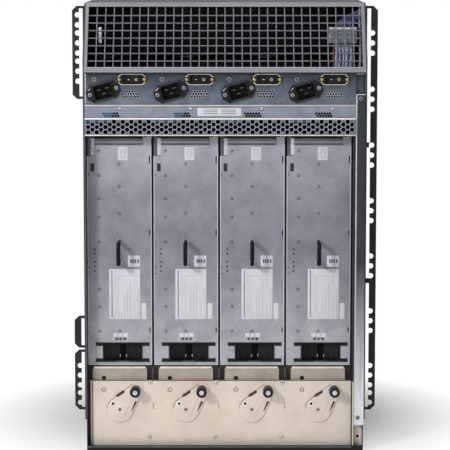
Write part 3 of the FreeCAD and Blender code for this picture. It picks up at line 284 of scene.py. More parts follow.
# The grain of every finish is drawn coarser than the real one, because a finer one would not show.
FINISHES: dict[str, Finish] = {
    # Powder coat over steel: even colour, and a fine peel that breaks up the light.
    "hood": Finish("grey_powder_coat", "86878d", "74757b", 60, 1.4, (0.42, 0.55), 0.2, 0.10, edge_mm=0.8),
    # The roof takes the hood's grey darkened, a painted shade on its top-lit face.
    "roof": Finish("roof_coat_painted_shade", "44454b", "38393e", 60, 1.4, (0.5, 0.62), 0.0, 0.10, gloss=0.12),
    "skin": Finish("dark_powder_coat", "2c2d33", "1f2024", 60, 1.4, (0.45, 0.6), 0.0, 0.12, edge_mm=0.8,
                   gloss=0.35),
    # The front cover and the trays take painted shade on their inside faces.
    "cover": Finish("grey_powder_coat_front", "9a9ca2", "85878d", 60, 1.4, (0.42, 0.55), 0.2, 0.10,
                    edge_mm=0.5, lining=Lining(INSIDE_PAINTED_SHADE, "Y", 276.0, False)),
    "tray": Finish("grey_powder_coat_tray", "8f9197", "7c7e84", 60, 1.4, (0.42, 0.55), 0.2, 0.10,
                   lining=Lining(INSIDE_PAINTED_SHADE, "Y", 278.0, False)),
    "bracket": Finish("black_powder_coat", "292a32", "1a1b21", 50, 1.2, (0.42, 0.6), 0.0, 0.15, edge_mm=0.5,
                      gloss=0.25),
    # Plated shell steel: cloudy and half bright outside, with painted shade on its inside faces.
    "wrap": Finish("plated_shell_steel", "8d929b", "6d727c", 30, 1.6, (0.36, 0.5), 0.55, 0.08,
                   lining=Lining(INSIDE_PAINTED_SHADE, "X", 217.7, False, True)),
    # Welded wire: bare drawn steel, dull from the plating.
    "wire": Finish("welded_wire", "6a6b73", "54555c", 20, 1.0, (0.4, 0.55), 0.2, 0.05),
    # Zinc-plated sheet: bluish cloudy patches with a fine crystal grain, and a painted shadow of the hood
    # that darkens it towards the top.
    "zinc": Finish("blue_zinc_plate", "747e8e", "4b5563", 16, 1.1, (0.32, 0.48), 0.35, 0.06, edge_mm=0.8,
                   fade=Fade(((549.0, "ffffff"), (573.0, "c6c9cf"), (600.0, "40444c")))),
    "strip": Finish("pale_zinc_plate", "8d93a0", "6f7582", 18, 1.1, (0.3, 0.44), 0.4, 0.06, edge_mm=0.8),
    "comb": Finish("zinc_plate_comb", "6c7380", "535a66", 18, 1.1, (0.32, 0.46), 0.4, 0.05, edge_mm=0.5),
    # Satin sheet of the supplies: pale and soft, with a painted reflection that leaves a darker belt at half
    # height.
    "module": Finish("satin_zinc_sheet", "bdbdc7", "9696a2", 34, 1.3, (0.36, 0.52), 0.25, 0.07, edge_mm=1.0,
                     fade=Fade(((150.0, "fbfbf6"), (225.0, "e0e0e0"), (320.0, "bcbcc2"), (400.0, "c4c4cb"),
                                (500.0, "f4f4f8")))),
    # Plated steel in the shade, its colour a painted shade; and clinched rings, dull and darker than the
    # sheet around them, a colour that also lays painted shade round screw heads and in the supplies' notches.
    "inner": Finish("plated_steel_painted_shade", "312a23", "1b1815", 40, 1.5, (0.5, 0.65), 0.4, 0.05),
    "rivet": Finish("clinched_ring_and_painted_shade", "62626a", "47474f", 12, 1.0, (0.34, 0.48), 0.5, 0.04),
    # Yellow passivation on zinc: warm cream with a faint pink cast.
    "gold": Finish("yellow_passivated_zinc", "e2d7ca", "cdc1b3", 45, 1.2, (0.36, 0.5), 0.25, 0.06,
                   edge_mm=0.8),
    "plate": Finish("yellow_passivated_plate", "b6aba0", "998e84", 35, 1.2, (0.34, 0.48), 0.3, 0.06,
                    edge_mm=1.0),
    # Oiled spring wire: dark brown turns with a dull shine.
    "spring": Finish("oiled_spring_wire", "75685a", "4e443a", 6, 0.8, (0.3, 0.45), 0.4, 0.03),
    # Brushed aluminium: long streaks up the channel, and a painted reflection that is bright at the foot and
    # dark farther up.
    "channel": Finish("brushed_aluminium", "f0f2f4", "b4b8be", 7, 0.9, (0.26, 0.42), 0.6, 0.05,
                      (1.0, 1.0, 0.05), 1.2,
                      fade=Fade(((60.0, "ffffff"), (110.0, "f4f4f4"), (190.0, "b6b8bc"), (300.0, "3d4046"),
                                 (560.0, "35383d")))),
    # Moulded plastic and enamel: spark-eroded grain and dull black, or plain grey.
    "black": Finish("moulded_black_plastic", "131316", "09090b", 25, 0.9, (0.4, 0.55), 0.0, 0.16, edge_mm=0.5,
                    gloss=0.2),
    "knob": Finish("moulded_black_knob", "131315", "0a0a0c", 25, 0.9, (0.36, 0.48), 0.0, 0.10, gloss=0.25),
    "enamel": Finish("black_enamel", "0c0c0e", "060608", 30, 1.0, (0.3, 0.42), 0.0, 0.05, gloss=0.12),
    "grey": Finish("moulded_grey_plastic", "868a90", "6d7177", 25, 0.9, (0.42, 0.55), 0.0, 0.10, edge_mm=0.5),
    # Painted shade: nearly black with no shine, for the dark inside openings, vents, sockets and the deepest
    # part of the grip.
    "void": Finish("painted_shade_in_openings", "0b0b0c", "060607", 25, 1.0, (0.7, 0.85), gloss=0.1),
    # Plated fasteners: bright or dull zinc and warm brass; and nickel blades, darkened by painted shade deep
    # in their sockets.
    "chrome": Finish("bright_zinc_fastener", "d6d8dc", "a4a7ad", 6, 0.8, (0.18, 0.3), 0.95, 0.03),
    "dull": Finish("dull_zinc_fastener", "8b8d93", "6a6c72", 6, 0.8, (0.36, 0.5), 0.6, 0.03),
    "brass": Finish("brass_fastener", "cdb06b", "9a7d3f", 6, 0.8, (0.22, 0.36), 0.95, 0.03),
    "blade": Finish("nickel_blade_painted_shade", "34332f", "23221f", 6, 0.8, (0.3, 0.42), 0.7, 0.03),
    # Painted highlights: thin pale lines laid on edges, ledges, rims and beads where light would catch; the
    # bright one also colours the cable tag, the cream one the bezel lines and lamp-strip ends, and the folded
    # one the lower panel's screws and the lever ring.
    "rim": Finish("painted_highlight_rim", "b6b9c2", "989ca7", 20, 1.0, (0.34, 0.45), 0.3, 0.03),
    "edge": Finish("painted_highlight_and_pale_tag", "d3d4d9", "b3b4bb", 20, 1.0, (0.34, 0.45), 0.3, 0.03),
    "fold": Finish("painted_highlight_and_bright_screws", "f4f4f1", "e0e0dc", 20, 1.0, (0.34, 0.45), 0.1, 0.03),
    "cream": Finish("painted_highlight_and_cream_trim", "dcd8cb", "bdb6a4", 20, 1.0, (0.35, 0.48), 0.25, 0.03),
    # Tinted film behind the vents: dull blue, nearly flat.
    "film": Finish("blue_tinted_film", "255777", "183d57", 14, 1.0, (0.5, 0.62)),
    # Label stock: matt white vinyl with a faint tooth, its pale and dark print, and white paint.
    "vinyl": Finish("white_label_vinyl", Tone.WHITE.value, "c6c7ce", 30, 0.8, (0.5, 0.62), 0.0, 0.03),
    "print": Finish("pale_grey_print", Tone.PRINT.value, "85868e", 30, 0.8, (0.5, 0.62)),
    "ink": Finish("dark_grey_print", "4c4d55", "3c3d44", 30, 0.8, (0.5, 0.62)),
    # The white mark paint also lays painted highlights on the connector block's edges.
    "mark": Finish("white_mark_and_painted_highlight", "eeeeea", "dededa", 30, 0.8, (0.5, 0.62)),
    # Lamp lenses: clear tinted dome with a faint painted glow in it, though no lamp is lit.
    "lamp_green": Finish("green_lamp_lens", Tone.GREEN.value, "274f3b", 4, 0.8, (0.12, 0.2), glow=0.08,
                         coat=0.5),
    "lamp_red": Finish("red_lamp_lens", Tone.RED.value, "541312", 4, 0.8, (0.12, 0.2), glow=0.05, coat=0.5),
    # Wire covers: slightly shiny extruded vinyl.
    "wire_white": Finish("white_wire_cover", "d9dbe2", "bfc2cc", 12, 0.8, (0.34, 0.45)),
    "wire_blue": Finish("blue_wire_cover", "5a63a8", "454d8c", 12, 0.8, (0.34, 0.45)),
    "wire_dusk": Finish("dusky_wire_cover", "4f5488", "393d68", 12, 0.8, (0.34, 0.45)),
    "wire_violet": Finish("violet_wire_cover", "8a8fc4", "6f74ab", 12, 0.8, (0.34, 0.45)),
    "wire_red": Finish("red_wire_cover", "9d4a48", "7e3836", 12, 0.8, (0.34, 0.45)),
    "wire_grey": Finish("grey_cable_cover", "aeb2b8", "92969d", 12, 0.8, (0.36, 0.48)),
    # Solder-masked board: deep green with a gloss film.
    "board": Finish("circuit_board", "2c4533", "1f3426", 20, 1.2, (0.3, 0.4), 0.0, 0.05, coat=0.2),
}
MATERIALS: dict[str, bpy.types.Material] = {}


def material(key: str) -> bpy.types.Material:
    """Material of a finish, made on first use.

    Args:
        key: Key in the table of finishes.

    Returns:
        The material.
    """
    if key not in MATERIALS:
        MATERIALS[key] = FINISHES[key].make()
    return MATERIALS[key]


@dataclass
class Skin:
    """Points in millimetres and faces of one piece; a flat detail has (across, up, proud) points."""

    points: np.ndarray
    faces: list[np.ndarray]

    def spread(self, spots: Sequence[Sequence[float]]) -> "Skin":
        """Copy the skin to several spots.

        Args:
            spots: Shifts of two or three numbers each.

        Returns:
            One skin with all the copies.
        """
        given = np.atleast_2d(np.asarray(spots, float))
        shift = np.zeros((len(given), 1, 3))
        shift[:, 0, :given.shape[1]] = given
        steps = np.arange(len(given))[:, None, None] * len(self.points)
        faces = [(block[None] + steps).reshape(-1, block.shape[1]) for block in self.faces]
        return Skin((self.points[None] + shift).reshape(-1, 3), faces)

    def turned(self, degrees: float) -> "Skin":
        """Turn a flat detail anticlockwise in its own plane.

        Args:
            degrees: Angle.

        Returns:
            The turned skin.
        """
        c, s = math.cos(math.radians(degrees)), math.sin(math.radians(degrees))
        spin = np.array([[c, s, 0], [-s, c, 0], [0, 0, 1]])
        return Skin(self.points @ spin, self.faces)

    def leaned(self, degrees: float) -> "Skin":
        """Lean a flat detail about its upright axis, so that its right side goes back.

        Args:
            degrees: Angle.

        Returns:
            The leaned skin.
        """
        c, s = math.cos(math.radians(degrees)), math.sin(math.radians(degrees))
        across, up, proud = self.points.T
        return Skin(np.column_stack([across * c + proud * s, up, proud * c - across * s]), self.faces)

    def on(self, facing: Facing, level: float) -> "Skin":
        """Stand a flat detail on a face of the chassis.

        Args:
            facing: Side that the face looks out from.
            level: Place of the face along its normal.

        Returns:
            The skin in the chassis frame.
        """
        across, up, proud = self.points.T
        columns = {
            Facing.REAR: (across, level - proud, up),
            Facing.FRONT: (across, level + proud, up),
            Facing.LEFT: (level - proud, across, up),
            Facing.RIGHT: (level + proud, across, up),
            Facing.TOP: (across, up, level + proud),
        }[facing]
        return Skin(np.column_stack(columns), self.faces)


def join(*skins: Skin) -> Skin:
    """Put several skins together.

    Args:
        skins: Skins in one frame.

    Returns:
        One skin.
    """
    starts = np.cumsum([0] + [len(skin.points) for skin in skins[:-1]])
    faces = [block + start for skin, start in zip(skins, starts) for block in skin.faces]
    return Skin(np.concatenate([skin.points for skin in skins]), faces)


def grid_faces(rows: int, columns: int, wrap: bool) -> np.ndarray:
    """Quads of a grid of points.

    Args:
        rows: Number of rows.
        columns: Number of points in a row.
        wrap: Whether the last column meets the first.

    Returns:
        An array of four indices a quad.
    """
    i = np.arange(rows - 1)[:, None]
    j = np.arange(columns if wrap else columns - 1)[None]
    a = i * columns + j
    b = i * columns + (j + 1) % columns
    return np.stack([a, b, b + columns, a + columns], -1).reshape(-1, 4)


def lathe(profile: Sequence[Pair], count: int = 24, swell: Optional[Field] = None,
          relief: Optional[Field] = None) -> Skin:
    """Turned form: at turn u, station k is (r cos u, r sin u, h), with r swelled and h raised.

    Args:
        profile: Radius and rise of each station, from pole to pole.
        count: Number of points in a turn.
        swell: Factor on the radius from radius, rise and turn.
        relief: Rise to add from radius, rise and turn.

    Returns:
        A closed skin that stands up from its plane.
    """
    stations = np.asarray(profile, float)
    turns = np.arange(count)[None] * (2 * np.pi / count)
    radius = stations[:, :1] + 0 * turns
    rise = stations[:, 1:] + 0 * turns
    lift = relief(radius, rise, turns) if relief else 0.0
    wide = radius * swell(radius, rise, turns) if swell else radius
    points = np.stack([wide * np.cos(turns), wide * np.sin(turns), rise + lift], -1)
    return Skin(points.reshape(-1, 3), [grid_faces(len(stations), count, True)])


def slab(outline: np.ndarray, low: float, high: float, ease: float = 0.3, steps: int = 3) -> Skin:
    """Flat piece cut to an outline: ring t is the outline drawn in by e(1 - cos t) and raised by e sin t.

    Args:
        outline: Corners in anticlockwise order.
        low: Proud of its lower face.
        high: Proud of its upper face.
        ease: Radius of the rounded upper rim.
        steps: Number of rings on the rim.

    Returns:
        A closed skin.
    """
    outline = np.asarray(outline, float)
    run = np.roll(outline, -1, 0) - np.roll(outline, 1, 0)
    out = np.column_stack([run[:, 1], -run[:, 0]])
    out /= np.maximum(np.linalg.norm(out, axis=1, keepdims=True), 1e-9)
    turn = np.linspace(0, np.pi / 2, steps + 1)
    draw = np.concatenate([[0.0], ease * (1 - np.cos(turn))])
    rise = np.concatenate([[low], high - ease + ease * np.sin(turn)])
    flat = outline[None] - draw[:, None, None] * out[None]
    points = np.concatenate([flat, np.broadcast_to(rise[:, None, None], (*flat.shape[:2], 1))], -1)
    count = len(outline)
    ring = np.arange(count)[None]
    caps = [ring[:, ::-1], ring + (len(rise) - 1) * count]
    return Skin(points.reshape(-1, 3), [grid_faces(len(rise), count, True), *caps])


def sweep(path: np.ndarray, profile: np.ndarray, across: Sequence[float] | np.ndarray,
          closed: bool = False) -> Skin:
    """Profile carried along a path: point = path + a side + b over, with side square to the path's run.

    Args:
        path: Points of the path; a closed path repeats its first point.
        profile: Points of the profile as (a, b).
        across: Direction, or one direction for each point, that side leans towards.
        closed: Whether the path meets itself.

    Returns:
        A closed skin.
    """
    path = np.asarray(path, float)
    profile = np.asarray(profile, float)
    run = np.gradient(path, axis=0)
    if closed:
        run[0] = run[-1] = path[1] - path[-2]
    run /= np.linalg.norm(run, axis=1, keepdims=True)
    side = np.broadcast_to(np.asarray(across, float), path.shape)
    side = side - run * (side * run).sum(1, keepdims=True)
    side = side / np.linalg.norm(side, axis=1, keepdims=True)
    over = np.cross(run, side)
    points = path[:, None] + profile[None, :, :1] * side[:, None] + profile[None, :, 1:] * over[:, None]
    count = len(profile)
    faces = [grid_faces(len(path), count, True)]
    if not closed:
        ring = np.arange(count)[None]
        faces += [ring[:, ::-1], ring + (len(path) - 1) * count]
    return Skin(points.reshape(-1, 3), faces)


def relief_block(across: np.ndarray, up: np.ndarray, front: np.ndarray, back: np.ndarray) -> Skin:
    """Closed block whose front and back are height fields over one grid of (across, up).

    Args:
        across: Columns of the grid.
        up: Rows of the grid.
        front: Proud of the front at each grid point.
        back: Proud of the back at each grid point.

    Returns:
        A closed skin.
    """
    rows, columns = len(up), len(across)
    flat = np.stack(np.meshgrid(across, up), -1)
    sides = [np.concatenate([flat, proud[..., None]], -1).reshape(-1, 3) for proud in (front, back)]
    index = np.arange(rows * columns).reshape(rows, columns)
    rim = np.concatenate([index[0, :-1], index[:-1, -1], index[-1, :0:-1], index[:0:-1, 0]])
    after = np.roll(rim, -1)
    wall = np.stack([rim, after, after + rows * columns, rim + rows * columns], -1)
    sheet = grid_faces(rows, columns, False)
    return Skin(np.concatenate(sides), [sheet, sheet[:, ::-1] + rows * columns, wall])


def circle(radius: float, count: int = 16) -> np.ndarray:
    """Points of a circle, anticlockwise."""
    turn = np.arange(count) * (2 * np.pi / count)
    return radius * np.column_stack([np.cos(turn), np.sin(turn)])


def rounded(half_wide: float, half_tall: float, radius: float, steps: int = 5) -> np.ndarray:
    """Rectangle with round corners about the origin, anticlockwise.

    Args:
        half_wide: Half of its width.
        half_tall: Half of its height.
        radius: Corner radius.
        steps: Points in a corner.

    Returns:
        Points of the outline.
    """
    turn = np.linspace(0, np.pi / 2, steps)
    quarter = (np.arange(4) * np.pi / 2)[:, None] + turn[None]
    sign = np.array([[1, 1], [-1, 1], [-1, -1], [1, -1]])[:, None]
    middle = sign * np.array([half_wide - radius, half_tall - radius])
    ring = middle + radius * np.stack([np.cos(quarter), np.sin(quarter)], -1)
    return ring.reshape(-1, 2)


def hoop(outline: np.ndarray, rise: float, profile: np.ndarray) -> Skin:
    """Profile carried once round a closed outline that lies flat.

    Args:
        outline: Corners in anticlockwise order.
        rise: Proud of the outline.
        profile: Points of the profile, as how far proud and how far out.

    Returns:
        A closed skin.
    """
    ring = np.column_stack([outline, np.full(len(outline), rise)])
    return sweep(np.concatenate([ring, ring[:1]]), profile, (0, 0, 1), True)


def rod(start: Sequence[float], end: Sequence[float], radius: float, count: int,
        across: Sequence[float] = (0, 1, 0)) -> Skin:
    """Straight round rod.

    Args:
        start: One end.
        end: The other end.
        radius: Radius.
        count: Number of flats round it.
        across: Direction that its first corner lies in.

    Returns:
        A closed skin.
    """
    return sweep(np.array([start, end]), circle(radius, count), across)


def disc(radius: float, low: float, high: float, count: int) -> Skin:
    """Plain round pin or disc from one height to another."""
    return lathe([(0, low), (radius, low), (radius, high), (0, high)], count)


# Cross of a screw, as shares of the head: half width and reach of an arm, where the flat top starts, depth.
CROSS_ARM, CROSS_REACH, CROSS_TOP, CROSS_DEEP = 0.13, 0.55, 0.9, 0.6


def cross_head(radius: float, rise: float) -> Skin:
    """Pan-head screw: a domed disc with a cross pressed into it.

    Args:
        radius: Radius of the head.
        rise: Height of the head.

    Returns:
        A closed skin on its own plane.
    """
    shares = [(0, -0.1), (1, -0.1), (1, 0.45), (0.95, 0.7), (0.85, 0.88), (0.7, 0.97), (0.58, 1), (0.5, 1),
              (0.4, 1), (0.3, 1), (0.2, 1), (0.1, 1), (0, 1)]

    def recess(r: np.ndarray, h: np.ndarray, u: np.ndarray) -> np.ndarray:
        """Drop of the cross, where a point of the top lies near enough to one of two axes."""
        arm = np.minimum(np.abs(r * np.cos(u)), np.abs(r * np.sin(u)))
        inside = (arm < CROSS_ARM * radius) & (r < CROSS_REACH * radius) & (h > CROSS_TOP * rise)
        return np.where(inside, -CROSS_DEEP * rise, 0.0)

    return lathe([(radius * r, rise * h) for r, h in shares], 32, None, recess)


def clinch_ring(radius: float, rise: float, well: float = 0.5) -> Skin:
    """Clinched fastener: a raised ring around a sunk middle.

    Args:
        radius: Outer radius.
        rise: Height of the ring.
        well: Share of the radius that the sunk middle takes.

    Returns:
        A closed skin on its own plane.
    """
    shares = [(0, -0.1), (1, -0.1), (1, 0.4), (0.94, 0.85), (0.84, 1), (0.66, 0.95), (well, 0.3), (0, 0.2)]
    return lathe([(radius * r, rise * h) for r, h in shares], 24)


def eyelet(radius: float, count: int = 12) -> Skin:
    """Small dark opening: a shallow cup with a thin lip."""
    lip, wall = 0.86 * radius, 0.78 * radius
    return lathe([(0, -0.1), (radius, -0.1), (radius, 0.12), (lip, 0.2), (wall, 0.05), (0, 0.04)], count)


@dataclass(frozen=True)
class Stock:
    """Sheet that flat pieces are cut from: corner radius, lower and upper face, eased rim and fineness."""

    corner: float
    low: float
    high: float
    ease: float
    corner_points: int = 3
    rim_rings: int = 3

    def cut(self, half_wide: float, half_tall: float, *spots: Sequence[float]) -> Skin:
        """Cut a round-cornered piece, and copy it to each spot.

        Args:
            half_wide: Half of its width.
            half_tall: Half of its height.
            spots: Middle of each copy; none leaves it at the origin.

        Returns:
            A closed skin.
        """
        outline = rounded(half_wide, half_tall, self.corner, self.corner_points)
        skin = slab(outline, self.low, self.high, self.ease, self.rim_rings)
        return skin.spread(spots) if spots else skin


@dataclass(frozen=True)
class Area:
    """Upright rectangle on a face, by its four sides."""

    left: float
    right: float
    low: float
    high: float

    @property
    def middle(self) -> Pair:
        """Its middle."""
        return (self.left + self.right) / 2, (self.low + self.high) / 2

    @property
    def half(self) -> Pair:
        """Half of its width and of its height."""
        return (self.right - self.left) / 2, (self.high - self.low) / 2


def piece(name: str, skin: Skin, finish: str, body: str, replaces: Sequence[str] = ()) -> None:
    """Make an object from a skin in the chassis frame and hang it on its body.

    Args:
        name: Name of the piece.
        skin: Points and faces in millimetres.
        finish: Key of its finish.
        body: CAD body that it rides on.
        replaces: CAD nodes that it stands for.
    """
    mesh = bpy.data.meshes.new(name)
    faces = [row for block in skin.faces for row in block.tolist()]
    mesh.from_pydata((skin.points * MM).tolist(), [], faces)
    shell = bmesh.new()
    shell.from_mesh(mesh)
    bmesh.ops.remove_doubles(shell, verts=shell.verts, dist=MERGE_M)
    bmesh.ops.recalc_face_normals(shell, faces=shell.faces)
    shell.to_mesh(mesh)
    shell.free()
    mesh.shade_smooth()
    mesh.set_sharp_from_angle(angle=SHARP)
    mesh.materials.append(material(finish))
    obj = bpy.data.objects.new(name, mesh)
    bpy.context.scene.collection.objects.link(obj)
    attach(obj, body)
    if replaces:
        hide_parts(*replaces)
    LOG.info("%s rides on %s with %d faces", name, body, len(mesh.polygons))


@dataclass(frozen=True)
class Face:
    """Face that flat details stand on: its level, slot, body and side, the spot and tilt of the details'
    own frame, and how the names of its pieces end."""

    level: float
    slot: str
    body: str = "chassis"
    facing: Facing = Facing.REAR
    at: Pair = (0.0, 0.0)
    tilt: float = 0.0
    ending: str = ""

    def add(self, name: str, finish: str, *skins: Skin, slot: str = "", replaces: Sequence[str] = ()) -> None:
        """Join flat details and stand them on the face as one piece.

        Args:
            name: Name of the piece, without the face's ending.
            finish: Key of its finish.
            skins: Flat details in the face's own frame.
            slot: Material slot, where it isn't the face's own. Not used.
            replaces: CAD nodes that the piece stands for.
        """
        skin = join(*skins).turned(self.tilt).spread([self.at]).on(self.facing, self.level)
        piece(name + self.ending, skin, finish, self.body, replaces)


# Panel screws: height of a head, where its dark socket starts, and how far the ring of painted shade reaches
# past the head.
SCREW_RISE, WELL_RISE, RING_LAP = 1.2, 1.15, 0.6


def dress_screws(name: str, face: Face, spots: Sequence[Pair], size: float = 2.5, finish: str = "chrome",
                 core: float = 0.0) -> None:
    """Bright screws in rings of painted shade, with painted shade in their sockets where a core is given.

    Args:
        name: Start of the names of the pieces.
        face: Face that they stand on.
        spots: Middle of each screw.
        size: Radius of a head.
        finish: Key of the finish of the heads.
        core: Radius of the painted shade in each head's socket, or none.
    """
    face.add(f"{name}_screw_rings", "rivet", clinch_ring(size + RING_LAP, 0.45, 0.8).spread(spots))
    face.add(f"{name}_screws", finish, cross_head(size, SCREW_RISE).spread(spots))
    if core:
        wells = eyelet(core).spread([(x, z, WELL_RISE) for x, z in spots])
        face.add(f"{name}_screw_wells", "void", wells)


def dress_vents(name: str, face: Face, spots: Sequence[Pair], radius: float, filmed: Sequence[Pair] = (),
                rim: str = "edge") -> None:
    """Small round vents: openings dark with painted shade, or blue ones where a film lies behind them, with
    thin rims that the bright edge finish turns into painted highlights.

    Args:
        name: Start of the names of the pieces.
        face: Face that they stand on.
        spots: Middle of each vent.
        radius: Radius of the opening.
        filmed: Middle of each vent that has a blue film behind it.
        rim: Key of the finish of the rims.
    """
    if filmed:
        face.add(f"{name}_filmed_vents", "film", eyelet(radius).spread(filmed))
    face.add(f"{name}_vents", "void", eyelet(radius).spread(spots))
    lip = hoop(circle(radius, 12), 0.1, circle(0.2, 5))
    face.add(f"{name}_vent_rims", rim, lip.spread([*spots, *filmed]))


@dataclass
class NodeDress:
    """Finishes of the CAD nodes that stay in view."""

    plain: dict[str, str] = field(default_factory=lambda: {
        "chassis_wrap": "wrap", "roof_panel": "roof", "side_panel_left": "skin", "side_panel_right": "skin",
        "power_bay": "inner", "midplane": "board", "inner_shelves": "inner", "slot_covers": "cover",
        "intake_grille": "cover", "plenum_cover": "cover", "exhaust_hood": "hood", "exhaust_mesh": "wire",
        "inlet_panel": "zinc", "strip_panel": "strip", "honeycomb_panel": "comb", "lower_panel": "gold",
        "lock_guide": "inner", "side_channel": "channel", "corner_strip": "gold",
        "rack_bracket_left": "bracket", "rack_bracket_right": "bracket", "inlet_pins": "blade",
        "switch_bezels": "black", "harness_connector": "grey", "wire_harness": "wire_white",
        "upper_fan_tray": "tray", "lower_fan_tray": "tray",
    })
    numbered: dict[str, str] = field(default_factory=lambda: {
        "inlet": "black", "rocker": "black", "ps_case": "module", "ps_handle": "enamel", "ps_grip": "black",
        "lever": "gold", "lock_pin": "knob", "lock_plate": "plate",
    })

    def dress(self) -> None:
        """Put each node's material into its slots."""
        table = dict(self.plain)
        table.update({f"{stem}_{i + 1}": key for stem, key in self.numbered.items() for i in range(STATIONS)})
        for node, key in table.items():
            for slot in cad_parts[node].material_slots:
                slot.material = material(key)
        LOG.info("dressed %d solids", len(table))


@dataclass
class Hood:
    """What shows through the exhaust mesh: wires, connector, cable, tag and seals; and the hood's hem, drawn
    as a thin rod in a pale painted highlight.
    """

    wires: tuple[str, ...] = ("red", "white", "violet", "white", "blue", "white", "violet", "white", "blue",
                              "white", "violet")
    wire_radius: float = 1.15
    layers: Pair = (-4.4, 0.6)
    sways: Pair = (-0.6, 0.8)
    ripple: float = 0.5
    sag: float = 1.6
    stray: float = -0.4
    rib_count: int = 7
    rib_half: Pair = (2.1, 7.6)
    rib_insets: Pair = (6.0, 5.0)
    rib_rise: float = 10.0
    rib_stock: Stock = Stock(0.6, -0.4, 1.1, 0.4)
    cap_inset: float = 0.4
    cap_half_tall: float = 1.1
    cap_drop: float = 1.6
    side_half: Pair = (1.0, 6.0)
    side_at: Pair = (1.4, 9.0)
    edge_stock: Stock = Stock(0.6, -0.4, 1.2, 0.4)
    cable_at: Pair = (212.4, -214.0)
    cable_radius: float = 2.0
    cable_sway: float = 0.8
    cable_sunk: float = 0.3
    strands: int = 7
    strand_radius: float = 1.0
    strand_y: float = -214.0
    foot_inset: float = 10.0
    foot_sunk: float = 0.4
    foot_fan: Triple = (26.0, 3.0, 0.0)
    head_at: Pair = (214.6, 697.0)
    head_fan: Triple = (-1.5, 2.0, -13.0)
    bow: float = 9.0
    bow_loss: float = 0.4
    tag_x: float = -196.0
    tag_ends: Pair = (642.0, 667.0)
    tag_half_wide: float = 2.5
    tag_face: float = -220.0
    tag_stock: Stock = Stock(0.8, 1.6, 4.2, 0.5)
    post_half_wide: float = 1.0
    post_lap: float = 1.0
    post_sunk: float = 0.4
    post_stock: Stock = Stock(0.5, 0.0, 2.0, 0.4)
    seal_play: float = 0.5
    seal_half_tall: float = 2.6
    seal_rise: float = 2.9
    seal_lap: float = 0.1
    top_stock: Stock = Stock(0.5, 0.0, 4.2, 0.4)
    side_stock: Stock = Stock(0.3, 0.0, 26.0, 0.2)
    side_back: float = 3.0
    flap_stock: Stock = Stock(0.3, 0.0, 3.2, 0.2)
    flap_gap: float = 0.6
    slack: float = 0.2
    hem_half: float = 212.6
    hem_at: Pair = (-287.3, 607.3)
    hem_radius: float = 0.75

    def build(self) -> None:
        """Make all the pieces behind the mesh, and the hem at its foot with its painted highlight."""
        low, high = box_mm("wire_harness")
        feet = np.linspace(low[0] + self.wire_radius, high[0] - self.wire_radius, len(self.wires))
        middle = (low[1] + high[1]) / 2
        for colour in dict.fromkeys(self.wires):
            skins = [self._wire((x, middle + layer), (low[2], high[2]), k + row)
                     for row, layer in enumerate(self.layers)
                     for k, x in enumerate(feet) if self.wires[k - row] == colour]
            stands_for = ["wire_harness"] if colour == "white" else []
            finish = f"wire_{colour}"
            piece(f"harness_{finish}", join(*skins), finish, "chassis", stands_for)
        self._connector()
        self._cable(low[2])
        self._strands()
        self._tag(low[2])
        self._seals()
        # Painted highlight: a pale rod along the flange at the foot of the mesh, where it would catch the
        # light.
        hem = rod((-self.hem_half, *self.hem_at), (self.hem_half, *self.hem_at), self.hem_radius, 8)
        piece("hood_hem_highlight", hem, "rim", "chassis")

    def _wire(self, at: Pair, ends: Pair, number: int) -> Skin:
        """One wire: a round profile up a path of half a wave, with three half waves of ripple on it.

        Args:
            at: Place across and depth.
            ends: Height of its foot and of its head.
            number: Number of the wire, which sets its wave.

        Returns:
            The skin.
        """
        t = np.linspace(0, 1, 15)
        arch = np.sin(np.pi * t)
        sway = arch * self.sways[number % 2] + self.ripple * np.sin(3 * np.pi * t + number)
        depth = at[1] - self.sag * arch * (1 if number % 3 else self.stray)
        path = np.column_stack([at[0] + sway * arch, depth, ends[0] + (ends[1] - ends[0]) * t])
        return sweep(path, circle(self.wire_radius, 8), (1, 0, 0))

    def _connector(self) -> None:
        """Ribs, and painted highlights along the top edge and the left edge of the connector block."""
        low, high = box_mm("harness_connector")
        block = Face(low[1], "grey_plastic")
        across = np.linspace(low[0] + self.rib_insets[0], high[0] - self.rib_insets[1], self.rib_count)
        ribs = self.rib_stock.cut(*self.rib_half, *((x, low[2] + self.rib_rise) for x in across))
        block.add("connector_ribs", "grey", ribs)
        # Painted highlights: pale strips on the block's top and left edges.
        wide = (high[0] - low[0]) / 2
        cap_spot = (low[0] + wide, high[2] - self.cap_drop)
        cap = self.edge_stock.cut(wide - self.cap_inset, self.cap_half_tall, cap_spot)
        side = self.edge_stock.cut(*self.side_half, (low[0] + self.side_at[0], low[2] + self.side_at[1]))
        block.add("connector_edge_highlights", "mark", cap, side)

    def _cable(self, floor: float) -> None:
        """Grey cable that sways by one wave up the right cheek.

        Args:
            floor: Height of the plenum floor.
        """
        t = np.linspace(0, 1, 17)
        across = self.cable_at[0] + self.cable_sway * np.sin(2 * np.pi * t)
        roof = box_mm("roof_panel")[0][2]
        up = floor - self.cable_sunk + (roof + self.cable_sunk - floor) * t
        path = np.column_stack([across, np.full(len(t), self.cable_at[1]), up])
        cable = sweep(path, circle(self.cable_radius, 12), (1, 0, 0))
        piece("riser_cable", cable, "wire_grey", "chassis")

